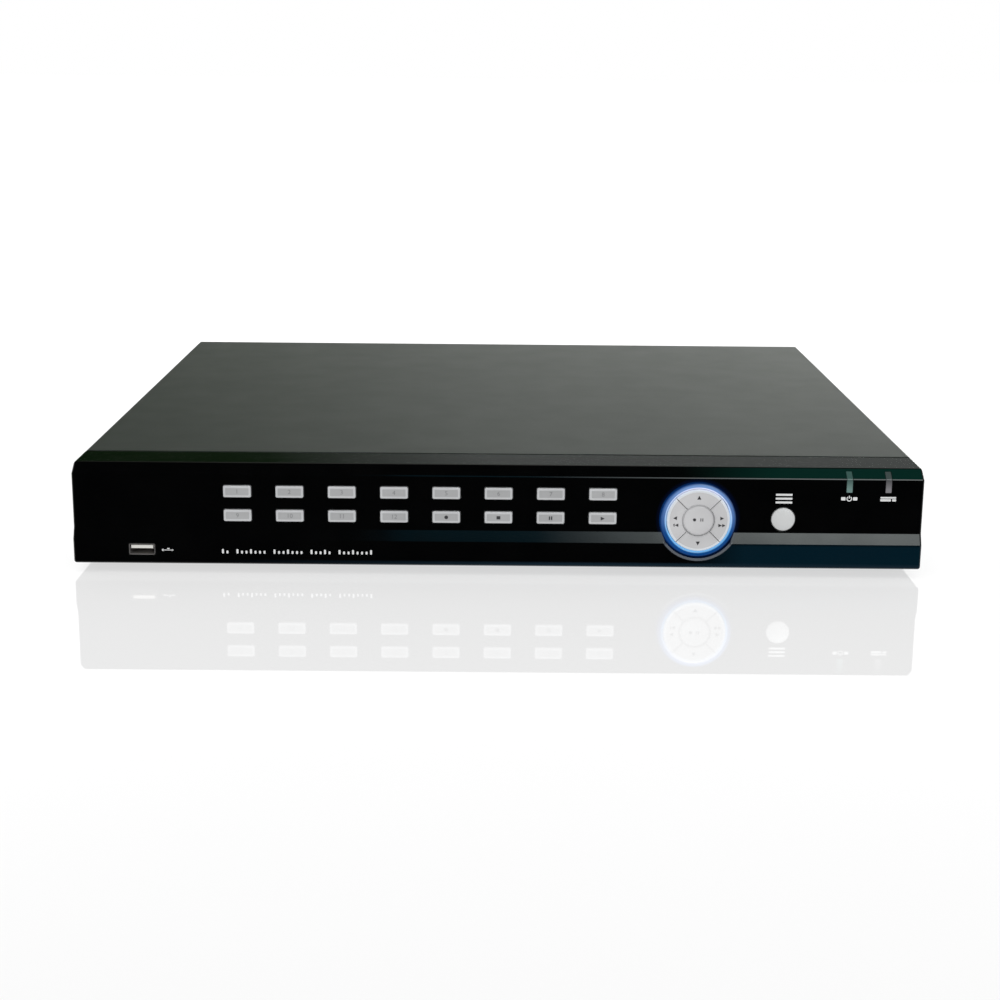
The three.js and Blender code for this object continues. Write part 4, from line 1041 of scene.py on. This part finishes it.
def coax_jack(bm, x, z, reach):
    """A bayonet socket: washer, nut, barrel with two lugs, pale insulator and a gold contact."""
    bore = reach - 8
    barrel = [(4.8, -1.5), (4.8, reach - 0.4), (4.6, reach), (4.25, reach), (4.1, reach - 0.3), (4.1, bore)]
    insulator = [(3.3, bore - 0.2), (3.3, reach - 2.4), (3.0, reach - 2.2), (1.2, reach - 2.2),
                 (1.1, reach - 4)]
    contact = [(0.95, bore), (0.95, reach - 2.8), (0.5, reach - 2.7), (0.45, reach - 4.5)]
    turn_parts(bm, x, z, [
        ([(6.3, 0.02), (6.3, 0.6), (6.1, 0.7), (4.8, 0.7)], 40, 0),
        ([(5.9, 0.7), (5.9, 2.2), (5.6, 2.5), (4.8, 2.5)], 6, 0),
        (barrel, 40, 0), (insulator, 32, 1), (contact, 16, 2),
    ])
    for side in (-1, 1):
        centre = Vector((reach - 3.4, z))
        lug = [([centre + p for p in circle(radius, 16)], x + side * out)
               for out, radius in ((4.5, 1.0), (5.55, 1.0), (5.7, 0.8))]
        skin(bm, [at_x(outline, at) for outline, at in lug])


def coax_block(name):
    reach = proud_of_wall(name)[1]
    bm = bmesh.new()
    socket_body(bm, name, 3)
    for x, z in jack_places(name):
        coax_jack(bm, x, z, reach)
    materials = [NICKEL, WHITE_PLASTIC, GOLD, BLACK_PLASTIC]
    piece(name + "_jacks", bm, materials, at=(0, WALL_Y, 0), replaced=name)


def audio_block():
    """Two white and two red jacks."""
    name = "audio_jack_block"
    reach = proud_of_wall(name)[1]
    bm = bmesh.new()
    socket_body(bm, name, 2)
    barrel = [(4.15, -1.5), (4.15, reach - 0.3), (3.95, reach), (3.6, reach), (3.5, 0.8)]
    sleeve = [(3.5, -1.4), (3.5, reach - 1), (3.2, reach - 0.8), (1.8, reach - 0.8), (1.7, 0.6)]
    collar = [(5.4, 0.02), (5.4, 0.7), (5.1, 0.9), (4.15, 0.9)]
    for x, colour in zip(AUDIO_COLUMNS, (1, 3)):
        for z in JACK_ROWS:
            turn_parts(bm, x, z, [(barrel, 40, 0), (sleeve, 32, colour), (collar, 36, colour)])
    materials = [NICKEL, WHITE_PLASTIC, BLACK_PLASTIC, RED_PLASTIC]
    piece(name + "_jacks", bm, materials, at=(0, WALL_Y, 0), replaced=name)


def vga_port():
    """A tapered shell round a blue block with fifteen contacts, between two hexagon posts."""
    low, high = box_mm("vga_port")
    half = (high.x - low.x) / 2
    back, reach = proud_of_wall("vga_port")
    inside = -SHEET - GAP
    shell = rounded_outline([(-8.4, 4.1, 1.6), (8.4, 4.1, 1.6), (7.2, -4.1, 1.6), (-7.2, -4.1, 1.6)], 5)
    bm = bmesh.new()
    stack(bm, shell, [(0, -2), (0, reach - 0.3), (0.25, reach), (0.5, reach - 0.2), (0.55, 1.0)])
    stack(bm, shell, [(0.6, 0.8), (0.6, reach - 1.2)], material=1)
    block(bm, 0, half, (back, inside - 0.5), (low.z - VGA_Z, 5), 0.4, 2)
    block(bm, 0, half, (inside - 1, inside), (-6.2, 6.2), 1.5)
    contact = [(0.62, reach - 1.25), (0.62, reach - 1.12), (0.4, reach - 1.1)]
    for z, shift in ((2.0, 0.0), (0.0, -1.1), (-2.0, 0.0)):
        for x in row(5, 2.3):
            turned(bm, contact, x + shift, z, 12, 2)
    for x in (-12.5, 12.5):
        turn_parts(bm, x, 0, [
            ([(2.9, 0.02), (2.9, 3.6), (2.5, 4.0), (1.5, 4.0), (1.4, 1.0)], 6, 0),
            ([(1.45, -3), (1.45, 0.1)], 20, 0),
        ])
    piece("vga_port_socket", bm, [TIN, BLUE_PLASTIC, BLACK_PLASTIC],
          at=(VGA.x, WALL_Y, VGA_Z), replaced="vga_port")


def network_stack():
    """A shielded can with a network socket over two USB sockets."""
    name = "network_usb_stack"
    low, high = box_mm(name)
    width, height = high.x - low.x, high.z - low.z
    back, proud = proud_of_wall(name)
    past = proud + 2
    origin = (NETWORK.x, WALL_Y, DECK)
    bm = bmesh.new()
    stack(bm, rectangle(width, height, 0.5), [(0, back), (0, proud - 0.2), (0.2, proud)], z=height / 2)
    can = raw_object("network_usb_can", bm, origin)
    cuts = bmesh.new()
    block(cuts, 0, 5.95, (-12, past), (17.4, 25.4), 0.4)
    carve(can, cuts, origin)
    cuts = bmesh.new()
    block(cuts, 0, 3, (-11, past), (25.0, 27.2), 0.3)
    for z in STACK_USB:
        block(cuts, 0, 6.3, (-9, past), (z, z + 5.1), 0.4)
    carve(can, cuts, origin)
    dress(can, [TIN], replaced=name)

    bm = bmesh.new()
    middle = NETWORK.x
    for z in STACK_USB:
        low_z = DECK + z
        block(bm, middle, 5.6, (-8.9, -0.6), (low_z + 2.9, low_z + 4.6), 0.15)
        for x in row(4, USB_CONTACT_PITCH):
            block(bm, middle + x, 0.5, (-8.8, -0.9), (low_z + 2.78, low_z + 2.95), 0, 1)
    for x in row(8, 1.02):
        block(bm, middle + x, 0.2, (-11.8, -3), (DECK + 17.6, DECK + 18.1), 0, 1)
    for x, material in ((-5.9, 2), (5.9, 3)):
        block(bm, middle + x, 1.4, (proud - 0.3, proud - 0.01), (DECK + 26.2, DECK + 27.8), 0.3, material)
    piece("network_usb_contacts", bm, [WHITE_PLASTIC, GOLD, TERMINAL_GREEN, LEAD_YELLOW],
          at=(0, WALL_Y, 0))


def terminal_block():
    """Eight ways, each with a square mouth and a clamp screw over it."""
    name = "terminal_block"
    low, high = box_mm(name)
    back, proud = proud_of_wall(name)
    origin = (0, WALL_Y, DECK)
    outline = rounded_outline([
        (back, 0, 0.3), (proud, 0, 0.5), (proud, 9.4, 0.4), (2.2, 11.0, 0.4), (back, 11.0, 0.3),
    ], 3)
    bm = bmesh.new()
    side_stack(bm, outline, [(0.2, low.x), (0, low.x + 0.2), (0, high.x - 0.2), (0.2, high.x)])
    body = raw_object("terminal_block_body", bm, origin)
    cuts, clamps = bmesh.new(), bmesh.new()
    for way in TERMINAL_WAYS:
        x = TERMINAL.x + way
        block(cuts, x, 1.35, (0, 9), (1.8, 5.2), 0.3)
        skin(cuts, [at_z(circle(1.4, 20), z, x, 4.4) for z in (7.5, 12)])
        turned_z(clamps, [(1.25, 7.4), (1.25, 8.6), (1.05, 8.8), (0.0, 8.8)], x, 4.4, 20)
        block(clamps, x, 1.1, (0.4, 3.6), (2.0, 2.9), 0.2)
    carve(body, cuts, origin)
    dress(body, [TERMINAL_GREEN], replaced=name)
    piece("terminal_block_clamps", clamps, [NICKEL], at=origin)


def flanged_body(name, node_name, outlines, back, soft, hole, deep, flare):
    """A moulding pushed through the wall up to its flange, with a hole whose mouth flares. outlines are
    its body and its flange, and flare is how wide and how deep the mouth opens."""
    body, flange = outlines
    face = proud_of_wall(node_name)[1]
    x, _, z = centre_mm(node_name)
    at = (x, WALL_Y, z)
    rings = [(body, back), (body, GAP), (flange, GAP), (flange, face - 0.4), (inset(flange, soft), face)]
    bm = bmesh.new()
    skin(bm, [at_y(outline, y) for outline, y in rings])
    made = raw_object(name, bm, at)
    cuts = bmesh.new()
    wide, long = flare
    stack(cuts, hole, [(0, deep), (0, face - long), (-wide, face), (-wide, face + 2)])
    carve(made, cuts, at)
    dress(made, [BLACK_PLASTIC], replaced=node_name)
    return at, face


def power_inlet():
    """A three-pin mains inlet with two flange screws."""
    shroud = rounded_outline([(-12, -8.2, 1.2), (12, -8.2, 1.2), (12, 4.6, 1.2), (8.4, 8.2, 1.2),
                              (-8.4, 8.2, 1.2), (-12, 4.6, 1.2)])
    outlines = rectangle(27.2, 20, 1.5), rectangle(48, 23, 4)
    at, face = flanged_body("power_inlet_body", "power_inlet", outlines, -20, 0.4, shroud, -14, (0.5, 0.6))
    bm = bmesh.new()
    for x, z in ((-7, -2), (0, 2), (7, -2)):
        block(bm, x, 1, (-14.2, face - 2), (z - 2.2, z + 2.2), 0.4)
    for x in (-19.5, 19.5):
        screw_head(bm, (x, face + LIFT, 0), 2.6, 1.3)
    piece("power_inlet_blades", bm, [NICKEL, BLACK_PLASTIC], at=at)


def power_switch():
    """The switch's frame, and the rocker with its two raised marks, resting with one half pressed in."""
    window = rectangle(10.8, 17.2, 0.5)
    outlines = rectangle(13.2, 19.6, 0.8), rectangle(18, 25, 1.2)
    flanged_body("power_switch_frame", "power_switch_housing", outlines, -16, 0.5, window, -9, (0.4, 0.4))

    half, tilt, pivot_y, mark_y = 7.2, math.radians(12), -1.5, 4.05
    outline = []
    for step in range(17):
        way = 1 - 2 * step / 16
        outline.append(Vector((4.6 - 1.4 * math.cos(way * math.pi / 2), way * half)))
    outline += [Vector((0.5, -half)), Vector((-4.2, 0)), Vector((0.5, half))]
    bm = bmesh.new()
    side_stack(bm, outline, [(0.3, -5), (0.08, -4.85), (0, -4.6), (0, 4.6), (0.08, 4.85), (0.3, 5)])
    marks = (bar(0, 4.9, 0.5, 2.4), mark_y), (arc_band(0, -4.6, 1.1, 0.45, 0, 355, 28), mark_y - 0.1)
    for mark, y in marks:
        skin(bm, [at_y(mark, y - 0.3), at_y(mark, y + 0.12)], 1)
    bm.transform(Matrix.Rotation(tilt, 4, "X"))
    piece("power_rocker_key", bm, [BLACK_PLASTIC, PRINT_WHITE], "power_rocker_body",
          (ROCKER.x, WALL_Y + pivot_y, ROCKER.z), replaced="power_rocker")


def fan_frame():
    """A square frame with a flared bore, four screw holes and a motor plate on four arms."""
    low, high = box_mm("fan_frame")
    axis = (FAN.x, 0, FAN.z)
    bm = bmesh.new()
    stack(bm, rectangle(40, 40, 3, 6), [(0.3, low.y), (0, low.y + 0.3), (0, high.y - 0.3), (0.3, high.y)])
    shell = raw_object("fan_frame_shell", bm, axis)
    cuts = bmesh.new()
    turned(cuts, [(19.4, low.y - 1), (19.0, low.y + 1), (19.0, high.y - 1), (19.4, high.y + 1)], count=72)
    for x, z in FAN_SCREWS:
        turned(cuts, [(1.9, low.y - 1), (1.9, high.y + 1)], x, z, 20)
    carve(shell, cuts, axis)
    arms = bmesh.new()
    plate = (low.y, low.y + 1.2)
    turned(arms, [(12.5, y) for y in plate])
    for degrees in (45, 135, 225, 315):
        start = len(arms.verts)
        block(arms, 0, 1.2, plate, (11, 19.3), 0.3)
        turn_new(arms, start, Matrix.Rotation(math.radians(degrees), 4, "Y"))
    carve(shell, arms, axis, "UNION")
    dress(shell, [BLACK_PLASTIC], replaced="fan_frame")

def fan_blade(bm, bearing, middle):
    """One blade: a thin curved section that sweeps forwards and flattens as it runs out."""
    section = ((-1, 0), (-0.5, 0.35), (0, 0.45), (0.5, 0.35), (1, 0), (0.5, -0.25), (0, -0.3),
               (-0.5, -0.25))
    root, tip, steps = 11.5, 18.1, 5
    rings = []
    for step in range(steps + 1):
        out = step / steps
        radius = root + (tip - root) * out
        pitch = math.radians(52 - 12 * out)
        sweep = math.radians(bearing + 4 * step)
        reach = 3.6 + 0.4 * out
        ring = []
        for along, thick in section:
            side = along * reach * math.cos(pitch) - thick * math.sin(pitch)
            deep = along * 3.4 * math.sin(pitch) + thick * math.cos(pitch)
            x = radius * math.cos(sweep) - side * math.sin(sweep)
            z = radius * math.sin(sweep) + side * math.cos(sweep)
            scale = min(1, 18.2 / math.hypot(x, z))
            ring.append(Vector((x * scale, middle + deep * 0.95, z * scale)))
        rings.append(ring)
    skin(bm, rings)


def fan_rotor():
    low, high = box_mm("fan_rotor")
    hub = [(11.6, low.y), (12.2, low.y + 0.4), (12.2, high.y - 0.8), (11.6, high.y - 0.1), (9.5, high.y),
           (0, high.y)]
    blades = 7
    bm = bmesh.new()
    turned(bm, hub)
    for index in range(blades):
        fan_blade(bm, 360 / blades * index, (low.y + high.y) / 2)
    piece("fan_rotor_blades", bm, [BLACK_PLASTIC], "fan_rotor_body", (FAN.x, 0, FAN.z), 45,
          "fan_rotor")


def rear_fasteners():
    """Screws that hold the fan, the socket blocks and the cover's lip to the rear wall."""
    bm = bmesh.new()
    for x, z in FAN_SCREWS:
        screw_head(bm, (FAN.x + x, WALL_Y + LIFT, FAN.z + z), 2.9, 1.3)
    piece("fan_screws", bm, [BLACK_SCREW, BLACK_PLASTIC])
    bm = bmesh.new()
    for x in REAR_SCREWS:
        screw_head(bm, (x, WALL_Y + LIFT, BASE + 5.5), 2.3, 1.1)
    piece("rear_wall_screws", bm, [BLACK_SCREW, BLACK_PLASTIC])


def rear_marks():
    """Numbers beside the video inputs."""
    blocks = ("video_input_block_1", "video_input_block_2")
    places = [place_mm for name in blocks for place_mm in jack_places(name)]
    for number, (x, z) in enumerate(places, 1):
        at = (x + 6.3, WALL_Y + LIFT, z + 5.6)
        numeral(f"input_mark_{number:02d}", str(number), 2.6, PRINT_WHITE, at, CASE, math.pi)


# ------------------------------------------------------------------ pieces that keep their CAD shape
CAD_FINISHES = {
    "keypad_mat": MAT_RUBBER, "key_board": BOARD_GREEN, "main_board": BOARD_GREEN,
    "power_supply": BOARD_GREEN, "processor_heatsink": ALUMINIUM, "hard_drive": ALUMINIUM,
    "drive_tray": ZINC, "front_ribbon_cable": RIBBON, "drive_data_cable": DATA_RED,
    "drive_power_cable": LEAD_YELLOW, "supply_cable": LEAD_YELLOW,
}


def finish_cad_nodes():
    for name, material in CAD_FINISHES.items():
        made = frame["nodes"][name]
        made.data.materials.clear()
        made.data.materials.append(material)


# ------------------------------------------------------------------ stage, lights and camera
def camera():
    """The view of the reference picture: nearly square on, from about 13 degrees above."""
    yaw, pitch, roll = (math.radians(d) for d in (0.186, 13.127, 0.526))
    forward = Vector((math.sin(yaw) * math.cos(pitch), math.cos(yaw) * math.cos(pitch), -math.sin(pitch)))
    right = Vector((math.cos(yaw), -math.sin(yaw), 0))
    up = right.cross(forward)
    turned_right = right * math.cos(roll) + up * math.sin(roll)
    turned_up = up * math.cos(roll) - right * math.sin(roll)
    data = bpy.data.cameras.new("camera")
    data.sensor_width = 36
    data.lens = 61.38
    data.shift_y = -0.044
    data.clip_start, data.clip_end = 0.05, 50
    made = link("camera", data)
    turn = Matrix((turned_right, turned_up, -forward)).transposed().to_4x4()
    made.matrix_world = Matrix.Translation(Vector((-1.93, FRONT - 833.27, BASE + 251.39)) * MM) @ turn
    bpy.context.scene.camera = made


def mixed(tree, factor, first, second):
    """Shows the first node's shader, turning into the second's."""
    made = node(tree, "ShaderNodeMixShader")
    for socket, value in zip(made.inputs, (factor, first.outputs[0], second.outputs[0])):
        join(tree, value, socket)
    return made


def backgrounds(tree, base, layers):
    """A base (colour, strength), under (light path output, colour, strength) layers that each show for
    their own kind of ray."""
    path = node(tree, "ShaderNodeLightPath")
    shown = node(tree, "ShaderNodeBackground", Color=rgba(base[0]), Strength=base[1])
    for kind, colour, strength in layers:
        layer = node(tree, "ShaderNodeBackground", Color=rgba(colour), Strength=strength)
        shown = mixed(tree, path.outputs[kind], shown, layer)
    return shown


def world():
    """White to the eye, to matt surfaces and to the floor's mirror. The recorder's own gloss sees dark
    above and in front, and a pale floor below and behind."""
    made = bpy.data.worlds.new("studio")
    bpy.context.scene.world = made
    made.use_nodes = True
    tree = made.node_tree
    tree.nodes.clear()
    white, dark, floor_light = (1.0, 1.0, 1.0), (0.002, 0.002, 0.002), (0.6, 0.6, 0.6)
    parts = split(tree, node(tree, "ShaderNodeTexCoord").outputs["Generated"])
    below = spread(tree, parts["Z"], 1, 0, -0.10, 0.02)
    behind = spread(tree, parts["Y"], 0, 1, -0.65, -0.25)
    gloss = blend(tree, product(tree, below, behind), dark, floor_light)
    shown = backgrounds(tree, (white, 0.92), [
        ("Is Glossy Ray", gloss, 1.0), ("Is Singular Ray", white, 1.0), ("Is Camera Ray", white, 1.0),
    ])
    node(tree, "ShaderNodeOutputWorld", Surface=shown.outputs[0])


def plane(name, width, height, material):
    """A flat stage piece about its own origin, facing its own +Z, that lights nothing matt."""
    w, h = width / 2, height / 2
    bm = bmesh.new()
    bm.faces.new([bm.verts.new(p) for p in ((-w, -h, 0), (w, -h, 0), (w, h, 0), (-w, h, 0))])
    mesh = bpy.data.meshes.new(name)
    bm.to_mesh(mesh)
    bm.free()
    mesh.materials.append(material)
    made = link(name, mesh)
    made.visible_diffuse = False
    made.visible_shadow = False
    return made


def floor():
    """A pale floor under a thin clear gloss. Only the eye sees it, so it can't light the black gloss."""
    material = surface("floor_pale", (0.27, 0.27, 0.27), 0.0, specular=0.7, grain=400, depth=0.0, vary=0.01,
                       mottle=3)
    tree = material.node_tree
    feed(tree, tree.nodes["Principled BSDF"], Emission_Color=(1, 1, 1, 1), Emission_Strength=0.60)
    made = plane("floor", 40, 40, material)
    made.location.z = -0.0002
    made.visible_glossy = False


def card(name, centre, width, height, colour, strength, fade=None, dim=(0, 0, 0)):
    """A glowing card that faces the recorder, seen only in its gloss. fade is where, as shares of the
    card's width from the left, its glow starts to rise from the dim colour and where it reaches full."""
    centre = Vector(centre)
    facing = (Vector((0, 0, 0.03)) - centre).normalized()
    level = Vector((0, 1, 0)) if abs(facing.x) > 0.7 else Vector((1, 0, 0))
    across = (level - facing * level.dot(facing)).normalized()
    turn = Matrix((across, facing.cross(across), facing)).transposed().to_4x4()
    material = bpy.data.materials.new(name)
    material.use_nodes = True
    tree = material.node_tree
    tree.nodes.clear()
    glow = node(tree, "ShaderNodeEmission", Color=rgba(colour), Strength=strength)
    if fade:
        start, end = ((share - 0.5) * width for share in fade)
        along = spread(tree, split(tree, place(tree))["X"], 0, 1, start, end)
        full = tuple(part * strength for part in colour)
        feed(tree, glow, Color=blend(tree, along, dim, full), Strength=1.0)
    clear = node(tree, "ShaderNodeBsdfTransparent")
    path = node(tree, "ShaderNodeLightPath")
    shown = mixed(tree, path.outputs["Is Singular Ray"], glow, clear)
    node(tree, "ShaderNodeOutputMaterial", Surface=shown.outputs[0])
    made = plane(name, width, height, material)
    made.matrix_world = Matrix.Translation(centre) @ turn
    made.visible_camera = False


# Each card's centre, width, height, colour and strength, where its glow fades, and what it fades to.
# These are in metres.
CARDS = {
    "front_high_card": ((0.55, -1.45, 1.15), 1.5, 0.55, (0.92, 1.0, 0.99), 3.6, (0.17, 0.40),
                        (0.03, 0.18, 0.26)),
    "rear_low_card": ((0.2, 2.2, 0.52), 3.4, 0.45, (0.93, 1.0, 0.96), 0.21, (0.31, 0.44),
                      (0.009, 0.026, 0.007)),
    "rear_high_card": ((0.3, 2.0, 1.45), 3.4, 1.1, (0.97, 1.0, 0.95), 0.5, (0.1, 0.6), (0.03, 0.04, 0.02)),
    "horizon_card": ((0.3, 2.4, 0.10), 3.8, 0.42, (0.97, 1.0, 0.95), 4.5, (0.1, 0.6), (0.55, 0.62, 0.50)),
    "overhead_card": ((0.6, 0.1, 2.1), 1.4, 1.2, (0.03, 0.38, 0.28), 1.0, (0.31, 0.42)),
    "left_card": ((-1.9, 0.5, 0.8), 2.2, 1.1, (1.0, 1.0, 1.0), 1.0),
    "right_card": ((1.9, 0.5, 0.8), 2.2, 1.1, (1.0, 1.0, 1.0), 1.0),
}


def lights():
    """Glowing cards mirrored by the glossy surfaces, and one wide soft lamp overhead."""
    for name, settings in CARDS.items():
        card(name, *settings)
    data = bpy.data.lights.new("overhead", "AREA")
    data.shape, data.size = "DISK", 1.6
    data.energy = 9
    lamp = link("overhead", data)
    lamp.location = (-0.3, -0.5, 2.2)
    lamp.rotation_euler = (-lamp.location).to_track_quat("-Z", "Y").to_euler()
    lamp.visible_glossy = False


# ------------------------------------------------------------------ assembly
camera()
world()
floor()
lights()
bpy.context.scene.view_settings.view_transform = "Standard"
bezel()
for key_name in CHANNEL_KEYS:
    channel_key(key_name)
for way_name, way_bearing in NAV_BEARINGS.items():
    nav_key(way_name, way_bearing)
for make in (enter_key, menu_key, light_ring):
    make()
indicator("power_led_window", INDICATOR_GREEN)
indicator("drive_led_window", INDICATOR_GREY)
for make in (key_marks, pad_marks, bezel_marks, usb_socket, cover, chassis):
    make()
for foot_name in FEET:
    foot(foot_name)
cover_screws()
for block_name in VIDEO_BLOCKS:
    coax_block(block_name)
for make in (audio_block, vga_port, network_stack, terminal_block, power_inlet, power_switch, fan_frame,
             fan_rotor, rear_fasteners, rear_marks, finish_cad_nodes):
    make()
